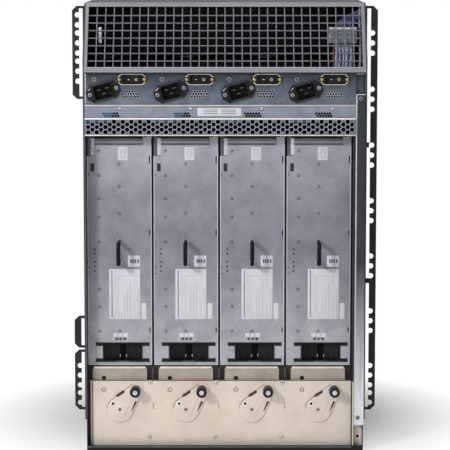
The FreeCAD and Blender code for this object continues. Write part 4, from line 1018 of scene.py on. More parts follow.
    def _strands(self) -> None:
        """Strands that fan up from the block to the right, each bowed by sin(pi t) times (1 - t)."""
        block_low, block_high = box_mm("harness_connector")
        foot_at = np.array([block_low[0] + self.foot_inset, self.strand_y, block_high[2] - self.foot_sunk])
        head_at = np.array([self.head_at[0], self.strand_y, self.head_at[1]])
        t = np.linspace(0, 1, 17)
        strands: dict[str, list[Skin]] = {"dusk": [], "blue": []}
        for number in range(self.strands):
            share = number / (self.strands - 1)
            foot = foot_at + share * np.array(self.foot_fan)
            head = head_at + share * np.array(self.head_fan)
            line = foot + (head - foot) * t[:, None]
            line[:, 2] += self.bow * (1 - self.bow_loss * share) * np.sin(np.pi * t) * (1 - t)
            colour = "blue" if number % 3 == 1 else "dusk"
            strands[colour].append(sweep(line, circle(self.strand_radius, 8), (0, 1, 0)))
        for colour, skins in strands.items():
            piece(f"rising_wire_{colour}", join(*skins), f"wire_{colour}", "chassis")

    def _tag(self, floor: float) -> None:
        """Small pale tag at the left end on a thin dark post that stands on the plenum floor.

        Args:
            floor: Height of the plenum floor.
        """
        back = Face(self.tag_face, "black_plastic")
        low, high = self.tag_ends
        half = (low - floor) / 2 + self.post_lap
        post = self.post_stock.cut(self.post_half_wide, half, (self.tag_x, floor + half - self.post_sunk))
        back.add("tag_post", "black", post)
        tall = (high - low) / 2
        tag = self.tag_stock.cut(self.tag_half_wide, tall, (self.tag_x, low + tall))
        back.add("cable_tag", "edge", tag, slot="grey_plastic")

    def _seals(self) -> None:
        """Foam strips that close the slits above and beside the upper fan tray."""
        tray_low, tray_high = box_mm("upper_fan_tray")
        cover_low, cover_high = box_mm("plenum_cover")
        edge = cover_high[0]
        top = self.top_stock.cut(edge - self.slack, self.seal_half_tall, (0, tray_high[2] + self.seal_rise))
        Face(cover_low[1] + self.seal_lap, "black_plastic").add("plenum_seal", "black", top)
        half = (edge - tray_high[0] - self.seal_play) / 2
        tall = (tray_high[2] - tray_low[2]) / 2
        z = tray_low[2] + tall
        sides = self.side_stock.cut(half, tall, *((k * (edge - half + self.seal_lap), z) for k in (-1, 1)))
        Face(cover_low[1] - self.side_back, "black_plastic").add("tray_seals", "black", sides)
        spots = [(k * (tray_high[0] + half), z) for k in (-1, 1)]
        flaps = self.flap_stock.cut(half + self.seal_lap, tall - self.slack, *spots)
        front = Face(cover_high[1] + self.flap_gap, "tray_steel", "upper_tray", Facing.FRONT)
        front.add("tray_flaps", "black", flaps)


@dataclass
class StationTrim:
    """Trim that repeats at each station, which has a number from one and a middle."""

    station: int
    middle: float

    def place(self, level: float, slot: str, spot: Pair = (0.0, 0.0), body: str = "chassis",
              tilt: float = 0.0) -> Face:
        """Face of this station, whose pieces are named with its number.

        Args:
            level: Place of the face along its normal.
            slot: Material slot of the record.
            spot: Origin of the details' frame, from the middle of the station.
            body: CAD body that the details ride on.
            tilt: Turn of the details' frame in degrees.

        Returns:
            The face.
        """
        origin = (self.middle + spot[0], spot[1])
        return Face(level, slot, body, at=origin, tilt=tilt, ending=f"_{self.station}")


@dataclass
class InletTrim(StationTrim):
    """One inlet and its switch: rim, ribs, screws, bezel lines, rocker marks, vents and an embossed ring in a
    pale painted highlight.
    """

    panel_face: float = -279.0
    inlet_at: Pair = (-22.0, 570.0)
    inlet_tilt: float = 15.0
    flange_face: float = -282.5
    rim_half: Pair = (15.2, 11.8)
    rim_corner: float = 4.5
    rim_rise: float = 0.5
    rim_radius: float = 1.35
    rib_half: float = 15.4
    rib_rows: Pairs = ((12.75, 1.42), (13.95, 0.1))
    rib_radius: float = 0.32
    screw_at: float = 21.3
    screw_head: Pair = (3.5, 1.9)
    glint: Pairs = ((-22.6, 6.6), (-17.0, 10.6))
    glint_rise: float = 0.1
    glint_radius: float = 0.4
    tips: Pairs = ((-6.3, 3.6), (6.3, 3.6), (0.0, -3.4))
    tip_half: Pair = (1.7, 0.45)
    tip_stock: Stock = Stock(0.3, -0.1, 0.4, 0.2)
    switch_at: Pair = (22.4, 588.5)
    bezel_face: float = -281.2
    bezel_half: float = 25.0
    bezel_tall: float = 8.8
    bezel_nose: float = 8.5
    bezel_screw_at: float = 19.6
    bezel_screw: Pair = (2.7, 1.5)
    line_inset: float = 0.7
    line_slant: float = 4.4
    line_ease: Pair = (0.6, 0.5)
    line_rise: float = 0.1
    line_bar: Triple = (0.75, 0.6, 0.3)
    rocker_lean: float = 6.0
    mark_at: Pair = (6.4, 3.76)
    dash_half: Pair = (2.0, 0.5)
    dash_stock: Stock = Stock(0.3, -0.2, 0.12, 0.05, 3, 2)
    zero_radius: float = 1.7
    zero_tube: float = 0.38
    vent_rows: tuple[int, ...] = (6, 7, 6)
    vent_radius: float = 1.9
    vent_pitch: Pair = (4.2, 4.0)
    vent_at: Pair = (8.3, 565.9)
    ring_at: Pair = (-36.0, 588.4)
    ring_radius: float = 2.7
    ring_tube: float = 0.5

    def build(self) -> None:
        """Dress the inlet, its switch and its vents."""
        flange = self.place(self.flange_face, "black_plastic", self.inlet_at, tilt=self.inlet_tilt)
        rim = hoop(rounded(*self.rim_half, self.rim_corner, 6), self.rim_rise, circle(self.rim_radius, 10))
        flange.add("inlet_rim", "black", rim)
        ribs = [rod((-self.rib_half, way * up, proud), (self.rib_half, way * up, proud), self.rib_radius, 6,
                    (0, 0, 1)) for up, proud in self.rib_rows for way in (-1, 1)]
        flange.add("inlet_ribs", "rivet", *ribs)
        heads = cross_head(*self.screw_head).spread([(-self.screw_at, 0), (self.screw_at, 0)])
        flange.add("inlet_screws", "dull", heads, slot="blade_brass")
        ends = [(*end, self.glint_rise) for end in self.glint]
        flange.add("inlet_glint", "edge", rod(*ends, self.glint_radius, 8, (0, 0, 1)))
        # Painted highlights: small bright marks on the dark blades in the socket.
        blades = replace(flange, level=box_mm("inlet_pins")[0][1], slot="blade_brass")
        blades.add("blade_glints", "dull", self.tip_stock.cut(*self.tip_half, *self.tips))
        self._switch()
        self._vents()

    def _switch(self) -> None:
        """Cream lines, brass screws and the marks of the rocker."""
        bezel = self.place(self.bezel_face, "bezel_plate", self.switch_at)
        flat = self.bezel_half - self.bezel_nose
        high = self.bezel_tall - self.line_inset
        wide, drop = self.line_ease
        right = np.array([(flat - wide, high, self.line_rise), (flat + wide, high - drop, self.line_rise),
                          (flat + self.line_slant, high - self.line_slant, self.line_rise)])
        top = np.concatenate([(right * [-1, 1, 1])[::-1], right])
        bar = rounded(*self.line_bar, 3)
        bezel.add("bezel_lines", "cream", *(sweep(top * [1, way, 1], bar, (0, 0, 1)) for way in (1, -1)))
        screws = cross_head(*self.bezel_screw).spread([(k * self.bezel_screw_at, 0) for k in (-1, 1)])
        bezel.add("bezel_screws", "brass", screws, slot="blade_brass")
        across, proud = self.mark_at
        dash = self.dash_stock.cut(*self.dash_half, (-across, 0, proud))
        zero = hoop(circle(self.zero_radius, 20), 0.05, circle(self.zero_tube, 6))
        zero = zero.spread([(across, 0, proud)])
        body = f"rocker_body_{self.station}"
        rocker = self.place(self.panel_face, "black_plastic", self.switch_at, body)
        rocker.add("rocker_marks", "mark", join(dash, zero).leaned(self.rocker_lean))

    def _vents(self) -> None:
        """Three staggered rows of small round vents beside the inlet, and an embossed ring above it in a pale
        painted highlight.
        """
        panel = self.place(self.panel_face, "zinc_sheet")
        widest = max(self.vent_rows)
        (left, z), (pitch, step) = self.vent_at, self.vent_pitch
        spots = [(left + (k + (widest - count) / 2) * pitch, z + (1 - row) * step)
                 for row, count in enumerate(self.vent_rows) for k in range(count)]
        dress_vents(f"inlet_{self.station}", replace(panel, ending=""), spots, self.vent_radius)
        mark = hoop(circle(self.ring_radius, 20), 0.1, circle(self.ring_tube, 6)).spread([self.ring_at])
        panel.add("embossed_ring_highlight", "rim", mark)


@dataclass
class BandTrim:
    """Screws, vents, blank label, ledges, films and rims of the strip and honeycomb bands, with painted
    highlights on the ledges, the rims and the inlet panel's left edge.
    """

    strip: Face = Face(-284.0, "zinc_sheet")
    comb: Face = Face(-288.0, "zinc_sheet")
    left: float = -217.6
    right: float = 202.6
    screws: Row = (-162.6, -53.0, 57.0, 167.1)
    screw_z: float = 543.2
    vents: Row = (-188.6, -78.5, 31.2, 141.2)
    vent_count: int = 6
    vent_radius: float = 2.0
    filmed_vents: tuple[int, int] = (4, 3)
    filmed_groups: int = 2
    vent_pitch: float = 4.27
    vent_rows: Pair = (535.9, 532.1)
    label: Area = Area(-42.7, 25.3, 531.9, 544.4)
    label_stock: Stock = Stock(1.0, -0.05, 0.3, 0.1, 5)
    bar_half: Pair = (11.0, 0.8)
    bar_columns: Pair = (-14.0, 14.0)
    bar_rows: Row = (-2.4, 0.6, 3.4)
    bar_stock: Stock = Stock(0.3, 0.1, 0.36, 0.04, 3, 2)
    ledge_stock: Stock = Stock(0.4, -0.2, 0.5, 0.35)
    strip_ledge: Pair = (0.8, 0.75)
    comb_ledge: Pair = (1.15, 1.1)
    foot_ledge: Pair = (1.0, 0.9)
    edge_half: float = 0.7
    edge_inset: float = 1.2
    edge_short: float = 2.5
    edge_stock: Stock = Stock(0.4, -0.2, 0.4, 0.3)
    comb_pitch: float = 13.4
    comb_row: float = 4.05
    comb_hole: float = 6.6
    comb_columns: int = 31
    rim_gap: float = 0.35
    rim_tube: float = 0.3
    film_left: float = 0.8
    film_half: Pair = (17.5, 2.3)
    film_lift: float = 1.2
    film_stock: Stock = Stock(0.4, -2.6, -2.0, 0.2)

    def build(self) -> None:
        """Make the trim of both bands."""
        dress_screws("strip", self.strip, [(x, self.screw_z) for x in self.screws])
        plain: list[Pair] = []
        filmed: list[Pair] = []
        for group, x in enumerate(self.vents):
            for row, z in enumerate(self.vent_rows):
                spots = [(x + (k + row / 2) * self.vent_pitch, z) for k in range(self.vent_count)]
                blue = self.filmed_vents[row] if group < self.filmed_groups else 0
                filmed += spots[:blue]
                plain += spots[blue:]
        dress_vents("strip", self.strip, plain, self.vent_radius, filmed, "strip")
        x, z = self.label.middle
        card = self.label_stock.cut(*self.label.half, (x, z))
        self.strip.add("strip_label", "vinyl", card, slot="grey_plastic")
        spots = [(x + column, z + row) for column in self.bar_columns for row in self.bar_rows]
        bars = self.bar_stock.cut(*self.bar_half, *spots)
        self.strip.add("strip_label_fields", "print", bars, slot="grey_plastic")
        self._ledges()
        self._comb()
        # Painted highlight: a pale strip down the inlet panel's left edge.
        low, high = box_mm("inlet_panel")
        half = (high[2] - low[2]) / 2
        spot = (self.left + self.edge_inset, low[2] + half)
        edge = self.edge_stock.cut(self.edge_half, half - self.edge_short, spot)
        Face(low[1], "zinc_sheet").add("inlet_panel_edge_highlight", "edge", edge)

    def _ledges(self) -> None:
        """Painted highlights along the ledges, each with an inset and a half height, at the top of the strip
        and at the top and foot of the honeycomb."""
        half, centre = (self.right - self.left) / 2, (self.right + self.left) / 2
        strip_top = box_mm("strip_panel")[1][2]
        comb_low, comb_top = (corner[2] for corner in box_mm("honeycomb_panel"))
        for name, face, edge, way, (inset, tall), finish in (
                ("strip", self.strip, strip_top, -1, self.strip_ledge, "cream"),
                ("comb", self.comb, comb_top, -1, self.comb_ledge, "fold"),
                ("comb_foot", self.comb, comb_low, 1, self.foot_ledge, "cream")):
            # Each ledge strip is a pale painted highlight where the ledge would catch light from above.
            ledge = self.ledge_stock.cut(half, tall, (centre, edge + way * inset))
            face.add(f"ledge_{name}", finish, ledge)

    def _comb(self) -> None:
        """Blue films behind the honeycomb, and a thin rim in a pale painted highlight carried round the
        corner circle of each hole.
        """
        (left, _, low), (right, _, high) = box_mm("honeycomb_panel")
        middle = (low + high) / 2
        film_z = middle + 2 * self.comb_row + self.film_lift
        cases = [box_mm(f"ps_case_{i + 1}")[0][0] for i in range(STATIONS)]
        films = [(left_side + self.film_left + self.film_half[0], film_z) for left_side in cases]
        self.comb.add("comb_films", "film", self.film_stock.cut(*self.film_half, *films))
        start = (left + right) / 2 - (self.comb_columns - 0.5) * self.comb_pitch / 2
        spots = [(start + (k + row % 2 / 2) * self.comb_pitch, middle + row * self.comb_row)
                 for row in range(-2, 3) for k in range(self.comb_columns)]
        corners = circle(self.comb_hole / math.sqrt(3) + self.rim_gap, 6)
        self.comb.add("comb_rim_highlights", "rim", hoop(corners, 0.02, circle(self.rim_tube, 5)).spread(spots))


@dataclass
class SupplyFace(StationTrim):
    """Everything that sits on one power supply's faceplate."""

    plate: Face = field(init=False)
    face: float = -249.0
    left: float = 50.2
    right: float = 51.0
    low: float = 133.3
    notch_low: float = 467.0
    right_top: float = 484.0
    edge_radius: float = 0.8
    edge_inset: float = 0.6
    edge_sunk: float = 0.35
    foot_rise: float = 0.7
    side_rivets: Row = (474.5, 436.0, 399.5, 370.0, 330.5, 255.0, 227.5, 188.0)
    side_at: float = -31.7
    middle_rivets: Row = (454.0, 418.5, 376.0, 188.0)
    rivet_ring: Triple = (2.5, 0.6, 0.7)
    rivet_dome: Pairs = ((0, -0.1), (1.5, -0.1), (1.5, 0.4), (1.2, 0.75), (0.6, 0.9), (0, 0.95))
    arrow_label: Area = Area(-1.5, 14.0, 460.0, 481.0)
    block_label: Area = Area(13.5, 32.5, 291.0, 309.0)
    table_label: Area = Area(-16.5, 32.5, 207.5, 287.5)
    small_labels: tuple[Area, ...] = (Area(34.5, 42.0, 207.5, 233.0), Area(-10.5, -3.6, 178.5, 185.0),
                                      Area(-2.2, 3.8, 178.5, 185.0), Area(5.2, 13.0, 178.5, 185.0))
    label_stock: Stock = Stock(0.8, -0.05, 0.25, 0.1, 5)
    arrow_bar: Triple = (0.1, 0.34, 0.05)
    arrow: Pairs = ((-2.4, -6.2), (2.4, -6.2), (2.4, 1.2), (4.8, 1.2), (0, 7.2), (-4.8, 1.2), (-2.4, 1.2))
    line_stock: Stock = Stock(0.1, 0.1, 0.31, 0.04, 2, 2)
    line_half: float = 0.2
    line_inset: float = 1.0
    line_gap: float = 0.5
    head_band: float = 10.7
    rules: Pair = (9.0, 15.2)
    columns: tuple[Triple, ...] = (
        (12.0, 11.0, 68.0), (19.4, 4.0, 12.5), (23.9, 4.0, 40.0), (28.9, 4.0, 45.0), (33.5, 4.0, 62.0),
        (40.3, 4.0, 30.0), (40.3, 55.0, 67.0), (45.9, 4.0, 48.0))
    dash_step: float = 2.9
    dash_half: Pair = (0.38, 0.95)
    dash_stock: Stock = Stock(0.2, 0.1, 0.31, 0.04, 2, 2)
    bold_half: Pair = (0.9, 1.1)
    bold_insets: Pair = (4.0, 3.0)
    bold_stock: Stock = Stock(0.3, 0.1, 0.31, 0.04, 2, 2)
    block_half: Pair = (1.2, 3.0)
    block_stock: Stock = Stock(0.3, 0.1, 0.31, 0.04, 3, 2)
    blocks: Row = (-4.6, -1.4, 1.9, 6.4)
    hole_radius: float = 1.35
    holes: Row = (319.0, 312.0, 299.0, 291.5, 284.0)
    holes_at: float = -39.0
    edge_hole_radius: float = 1.1
    edge_holes: Row = (437.0, 290.0, 280.0)
    edge_holes_at: float = -47.5
    slits: Pairs = ((461.0, 6.0), (345.0, 4.0), (190.0, 4.0))
    slits_at: float = 48.0
    slit_half: float = 0.9
    slit_stock: Stock = Stock(0.6, -0.05, 0.15, 0.08, 4, 2)
    tab_slots: Pairs = ((41.6, 2.6), (48.0, 1.4))
    tab_slots_z: float = 497.4
    tab_slot_half: float = 1.1
    tab_stock: Stock = Stock(0.4, -0.05, 0.15, 0.08, 3, 2)
    window: Area = Area(-44.7, -38.9, 442.5, 455.0)
    window_lap: float = 0.2
    window_stock: Stock = Stock(0.3, -1.6, -0.6, 0.2)
    notch_lit_at: Pair = (-41.3, 481.2)
    notch_lit_half: Pair = (2.9, 13.6)
    notch_lit_stock: Stock = Stock(0.6, -1.6, -0.5, 0.3, 4)
    notch_shaded_at: Pair = (-46.8, 482.6)
    notch_shaded_half: Pair = (2.9, 15.0)
    notch_shaded_stock: Stock = Stock(0.4, -1.6, -0.9, 0.2)
    lamps: tuple[tuple[float, str], ...] = ((-5.0, "lamp_green"), (1.0, "lamp_green"), (7.4, "lamp_red"))
    lamp_z: float = 175.6
    lamp_ends: Pair = (-11.3, 13.2)
    lamp_ring: Triple = (2.3, 0.6, 0.7)
    end_ring: Triple = (1.3, 0.5, 0.7)
    lamp_dome: Pairs = ((0, -0.1), (1.4, -0.1), (1.4, 0.5), (1.2, 0.9), (0.7, 1.2), (0, 1.3))
    handle_low: float = 296.0
    handle_high: float = 334.6
    handle_width: float = 6.3
    handle_bar: float = 6.5
    handle_reach: float = 38.0
    handle_corner: float = 6.5
    handle_ease: float = 2.2
    handle_sunk: float = 0.2
    collar: Pairs = ((0, -0.1), (5.0, -0.1), (5.0, 1.2), (4.6, 1.7), (0, 1.7))
    grip_shift: float = 4.4
    grip_low: float = 138.7
    grip_high: float = 169.8
    grip_half: float = 28.4
    grip_insets: Pair = (2.6, 4.0)
    grip_scoop: float = 60.0
    grip_floor: float = 13.8
    grip_skin: Pair = (0.25, 0.8)
    rib_pitch: float = 11.4
    rib_rise: float = 0.5
    rib_end: float = 0.9
    shade_half: float = 5.6
    shade_rise: float = 0.12
    glint_spots: Pairs = ((-4.6, 146.4), (5.4, 146.4))
    glint_spot_half: Pair = (0.6, 2.3)
    glint_spot_stock: Stock = Stock(0.5, -13.6, -11.6, 0.4, 4)
    strip_half: Pair = (10.0, 0.7)
    strip_rise: float = 0.9
    strip_stock: Stock = Stock(0.4, 0.6, 1.1, 0.15, 4)

    def __post_init__(self) -> None:
        """Set the frame of the faceplate at the middle of the station."""
        self.plate = self.place(self.face, "module_steel", body=f"supply_{self.station}")

    def build(self) -> None:
        """Dress the power supply."""
        spots = [(self.side_at, z) for z in self.side_rivets] + [(0, z) for z in self.middle_rivets]
        self.plate.add("supply_rivets", "rivet", clinch_ring(*self.rivet_ring).spread(spots))
        self.plate.add("supply_rivet_domes", "module", lathe(self.rivet_dome, 16).spread(spots))
        self._labels()
        self._openings()
        self._edges()
        self._handle()
        self._grip()
        self._lamps()

    def _labels(self) -> None:
        """White labels, with a plain arrow on the top one, and bars and rules on the two large ones."""
        areas = (self.arrow_label, self.block_label, self.table_label, *self.small_labels)
        cards = [self.label_stock.cut(*area.half, area.middle) for area in areas]
        self.plate.add("supply_labels", "vinyl", *cards, slot="grey_plastic")
        outline = hoop(np.array(self.arrow), 0.2, rounded(*self.arrow_bar, 2))
        table, first = self.table_label, self.rules[0]
        foot, head = table.low + self.line_inset, table.high - self.head_band
        prints = [outline.spread([self.arrow_label.middle])]
        prints += [self.line_stock.cut(self.line_half, (top - foot) / 2, (table.left + x, (foot + top) / 2))
                   for x, top in zip(self.rules, (table.high - self.line_inset, head))]
        span = (table.right - table.left - first) / 2
        prints.append(self.line_stock.cut(span - self.line_gap, self.line_half, (table.right - span, head)))
        for x, low, high in self.columns:
            spots = [(table.left + x, table.low + z) for z in np.arange(low, high, self.dash_step)]
            prints.append(self.dash_stock.cut(*self.dash_half, *spots))
        rows = np.arange(table.low + self.bold_insets[0], table.high - self.bold_insets[1], self.dash_step)
        bold = self.bold_stock.cut(*self.bold_half, *((table.left + first / 2, z) for z in rows))
        x, z = self.block_label.middle
        blocks = self.block_stock.cut(*self.block_half, *((x + shift, z) for shift in self.blocks))
        self.plate.add("supply_inks", "ink", bold, blocks, slot="grey_plastic")
        self.plate.add("supply_prints", "print", *prints, slot="grey_plastic")

    def _openings(self) -> None:
        """Small round holes and narrow slits dark with painted shade, the window with a pane of painted shade
        behind it, and in the notch at the left a painted highlight on its lit side and painted shade on its
        shaded side.
        """
        skins = [eyelet(self.hole_radius).spread([(self.holes_at, z) for z in self.holes])]
        skins += [self.slit_stock.cut(self.slit_half, half, (self.slits_at, z)) for z, half in self.slits]
        skins.append(eyelet(self.edge_hole_radius).spread([(self.edge_holes_at, z) for z in self.edge_holes]))
        skins += [self.tab_stock.cut(half, self.tab_slot_half, (x, self.tab_slots_z))
                  for x, half in self.tab_slots]
        self.plate.add("supply_openings", "void", *skins)
        wide, tall = self.window.half
        pane = self.window_stock.cut(wide + self.window_lap, tall + self.window_lap, self.window.middle)
        self.plate.add("supply_window", "inner", pane)
        # Painted highlight on the lit side of the notch, and painted shade on its shaded side.
        notch_lit_side = self.notch_lit_stock.cut(*self.notch_lit_half, self.notch_lit_at)
        self.plate.add("supply_notch_highlight", "edge", notch_lit_side)
        guide = self.notch_shaded_stock.cut(*self.notch_shaded_half, self.notch_shaded_at)
        self.plate.add("supply_notch_shade", "rivet", guide)

    def _edges(self) -> None:
        """Painted highlights down both sides and along the foot of the faceplate, on its real edges."""
        left = self.middle - self.left + self.edge_inset
        right = self.middle + self.right - self.edge_inset
        y, low, foot = self.face + self.edge_sunk, self.low + self.edge_inset, self.low + self.foot_rise
        lines = [((left, y, low), (left, y, self.notch_low)), ((right, y, low), (right, y, self.right_top)),
                 ((left, y, foot), (right, y, foot))]
        skin = join(*(rod(start, end, self.edge_radius, 10) for start, end in lines))
        piece(f"supply_edge_highlights_{self.station}", skin, "edge", self.plate.body)

    def _handle(self) -> None:
        """Pull handle: a rounded bar carried along a hoop with round corners, and its two collars."""
        inset = self.handle_bar / 2
        low, high = self.handle_low + inset, self.handle_high - inset
        tip = self.face - self.handle_reach + inset
        turn = np.linspace(0, np.pi / 2, 9)
        r = self.handle_corner
        lower = np.column_stack([tip + r - r * np.sin(turn), low + r - r * np.cos(turn)])
        upper = (lower * [1, -1] + [0, low + high])[::-1]
        root = self.face + self.handle_sunk
        bend = np.concatenate([[(root, low)], lower, upper, [(root, high)]])
        path = np.column_stack([np.full(len(bend), self.middle), bend])
        bar = sweep(path, rounded(self.handle_width / 2, inset, self.handle_ease, 5), (1, 0, 0))
        piece(f"pull_handle_{self.station}", bar, "enamel", self.plate.body,
              [f"ps_handle_{self.station}"])
        collars = lathe(self.collar, 20).spread([(0, low), (0, high)])
        self.plate.add("handle_collars", "chrome", collars, slot="handle_paint")

    def _grip(self) -> None:
        """Upright ribs on the scooped floor of the grip, a belt of painted shade down its deepest part, two
        painted highlights and a strip.

        The floor at x lies R - sqrt(R^2 - x^2) nearer than its middle; the ribs add a squared cosine.
        """
        pocket = replace(self.plate, at=(self.middle + self.grip_shift, 0.0))
        across = np.linspace(-self.grip_half, self.grip_half, 121)
        outer, inner = self.grip_insets
        up = np.array([self.grip_low + outer, self.grip_low + inner, self.grip_high - inner,
                       self.grip_high - outer])
        floor = -self.grip_floor + self.grip_scoop - np.sqrt(self.grip_scoop ** 2 - across ** 2)
        rib = self.rib_rise * (0.5 + 0.5 * np.cos(2 * np.pi * across / self.rib_pitch)) ** 2
        front = np.tile(floor + self.grip_skin[0] + rib, (len(up), 1))
        front[[0, -1]] -= self.rib_end * rib
        back = np.tile(floor - self.grip_skin[1], (len(up), 1))
        ribs = relief_block(across, up, front, back)
        pocket.add("grip_ribs", "black", ribs, slot="black_plastic")
        dark = np.abs(across) < self.shade_half
        shade = relief_block(across[dark], up, (front + self.shade_rise)[:, dark], back[:, dark])
        pocket.add("grip_shade", "void", shade, slot="black_plastic")
        # Painted highlights: two small bright marks deep in the scoop.
        glint_spots = self.glint_spot_stock.cut(*self.glint_spot_half, *self.glint_spots)
        pocket.add("grip_glints", "edge", glint_spots)
        strip = self.strip_stock.cut(*self.strip_half, (0, self.grip_low + self.strip_rise))
        pocket.add("grip_strip", "rivet", strip)

    def _lamps(self) -> None:
        """Three lamps in dark collars, and the pale ends of their strip."""
        lamps = replace(self.plate, slot="grey_plastic")
        collars = clinch_ring(*self.lamp_ring).spread([(x, self.lamp_z) for x, _ in self.lamps])
        lamps.add("supply_lamp_rings", "ink", collars)
        ends = clinch_ring(*self.end_ring).spread([(x, self.lamp_z) for x in self.lamp_ends])
        lamps.add("supply_lamp_ends", "cream", ends)
        for number, (x, finish) in enumerate(self.lamps, 1):
            lens = lathe(self.lamp_dome, 16).spread([(x, self.lamp_z)])
            replace(lamps, ending=f"{lamps.ending}_{number}").add("supply_lamp", finish, lens)


@dataclass
class LockLever(StationTrim):
    """One lock lever with its spring, marks, knob and the bead of its lock plate."""

    front: Face = field(init=False)
    face: float = -266.0
    back: float = -263.5
    pivot_z: float = 65.0
    round_radius: float = 20.7
    tip_radius: float = 11.0
    reach: float = 40.5
    angle: float = 51.5
    shaft: Pairs = ((0, -4.5), (8.0, -4.5), (8.0, -3.0), (3.0, -3.0), (3.0, 0.4), (0, 0.4))
    drive_angle: float = 141.5
    drive_reach: float = 13.65
    drive_radius: float = 2.5
    drive_ends: Pair = (-10.3, 0.4)
    groove_stock: Stock = Stock(2.1, -0.1, 0.12, 0.05, 6, 2)
    groove_half_tall: float = 2.2
    spring_at: Pair = (1.0, 25.5)
    spring_turn: float = 33.0
    spring_half: float = 7.7
    spring_inset: float = 1.2
    spring_turns: int = 9
    spring_coil: Pair = (1.75, 1.1)
    spring_rise: float = 0.2
    spring_wire: float = 0.42
    lever_shadow: Pairs = ((-8.5, -0.6), (8.5, -1.7), (8.5, 1.7), (-8.5, 0.6))
    lever_shadow_at: Pair = (22.2, 5.5)
    lever_shadow_turn: float = 65.0
    leg_turns: Pair = (62.0, 178.0)
    leg_inset: float = 0.985
    leg_rise: float = 0.12
    leg_wire: float = 0.36
    ring_at: Pair = (-10.6, 9.6)
    ring: Triple = (4.25, 1.0, 0.55)
    core_radius: float = 2.1
    core_rise: float = 0.22
    rivet: Triple = (3.0, 0.6, 0.55)
    dot_radius: float = 1.3
    dot_rise: float = 0.15
    crease_from: Pair = (3.4, -16.0)
    crease_to: Pair = (17.2, 12.0)
    crease_turn: float = 63.0
    crease_half: Pair = (1.2, 0.3)
    crease_stock: Stock = Stock(0.2, -0.1, 0.12, 0.05, 3, 2)
    knob_long: float = 24.6
    flutes: int = 14
    flute_deep: float = 0.022
    pin_radius: float = 3.5
    pin_ends: Pair = (-2.1, 1.2)
    bead_radius: float = 2.2
    bead_drop: float = 2.4
    bead_inset: float = 2.6
    bead_sunk: float = 0.7

    def __post_init__(self) -> None:
        """Set the frame of the lever's face at its pivot."""
        body = f"lever_body_{self.station}"
        self.front = self.place(self.face, "gold_plate", (0.0, self.pivot_z), body)

    def build(self) -> None:
        """Dress the lever, its knob and the bead of its plate."""
        self._arm()
        groove = self.groove_stock.cut(self.spring_half, self.groove_half_tall).turned(self.spring_turn)
        # Painted shadow: a dark wedge along the lever's lower right edge, where the lever's shadow falls.
        lever_shadow = slab(np.array(self.lever_shadow), -0.1, 0.14, 0.05, 2).turned(self.lever_shadow_turn)
        self.front.add("lever_slot_and_shadow", "inner", groove.spread([self.spring_at]),
                       lever_shadow.spread([self.lever_shadow_at]))
        outline = self._outline()
        turn = np.degrees(np.arctan2(outline[:, 1], outline[:, 0]))
        upper = outline[(turn > self.leg_turns[0]) & (turn < self.leg_turns[1])] * self.leg_inset
        leg = np.column_stack([upper, np.full(len(upper), self.leg_rise)])
        self.front.add("lever_leg", "inner", sweep(leg, circle(self.leg_wire, 6), (0, 0, 1)))
        self.front.add("lever_spring", "spring", self._spring())
        self.front.add("lever_ring", "fold", clinch_ring(*self.ring).spread([self.ring_at]))
        core = eyelet(self.core_radius, 16).spread([(*self.ring_at, self.core_rise)])
        self.front.add("lever_ring_core", "void", core)
        self.front.add("lever_rivet", "plate", clinch_ring(*self.rivet))
        self.front.add("lever_rivet_dot", "inner", eyelet(self.dot_radius).spread([(0, 0, self.dot_rise)]))
        t = np.linspace(0, 1, 10)[:, None]
        spots = np.array(self.crease_from) * (1 - t) + np.array(self.crease_to) * t
        dashes = self.crease_stock.cut(*self.crease_half).turned(self.crease_turn).spread(spots)
        self.front.add("lever_crease", "plate", dashes)
        self._knob()
        self._bead()

    def _arm(self) -> None:
        """Arm of the lever with its shaft and drive pin."""
        spin = math.radians(self.drive_angle)
        drive = disc(self.drive_radius, *self.drive_ends, 16).spread(
            [(self.drive_reach * math.cos(spin), self.drive_reach * math.sin(spin))])
        arm = slab(self._outline(), 0, self.back - self.face, 0.5, 4)
        rear = replace(self.front, level=self.back)
        rear.add("lever_arm", "gold", arm, lathe(self.shaft, 24), drive,
                 replaces=[f"lever_{self.station}"])

    def _outline(self) -> np.ndarray:
        """Teardrop: an arc about the pivot and a smaller one at the tip, joined by their tangents.

        Returns:
            Points about the pivot, anticlockwise.
        """
        lean = math.radians(self.angle)
        swing = math.acos((self.round_radius - self.tip_radius) / self.reach)
        far = np.linspace(lean - swing, lean + swing, 17)
        near = np.linspace(lean + swing, lean - swing + 2 * np.pi, 33)
        tip = self.reach * np.array([math.cos(lean), math.sin(lean)])
        nose = tip + self.tip_radius * np.column_stack([np.cos(far), np.sin(far)])
        disc_edge = self.round_radius * np.column_stack([np.cos(near), np.sin(near)])
        return np.concatenate([nose, disc_edge])

    def _spring(self) -> Skin:
        """Coil spring: a wire along a flattened helix that lies half sunk in its groove.

        Returns:
            The skin about the pivot.
        """
        t = np.linspace(0, 1, 161)
        turn = 2 * np.pi * self.spring_turns * t
        along = (2 * t - 1) * (self.spring_half - self.spring_inset)
        wide, tall = self.spring_coil
        path = np.column_stack([along, wide * np.cos(turn), self.spring_rise + tall * np.sin(turn)])
        outward = np.column_stack([np.zeros(len(t)), np.cos(turn), np.sin(turn)])
        coil = sweep(path, circle(self.spring_wire, 6), outward)
        return coil.turned(self.spring_turn).spread([self.spring_at])

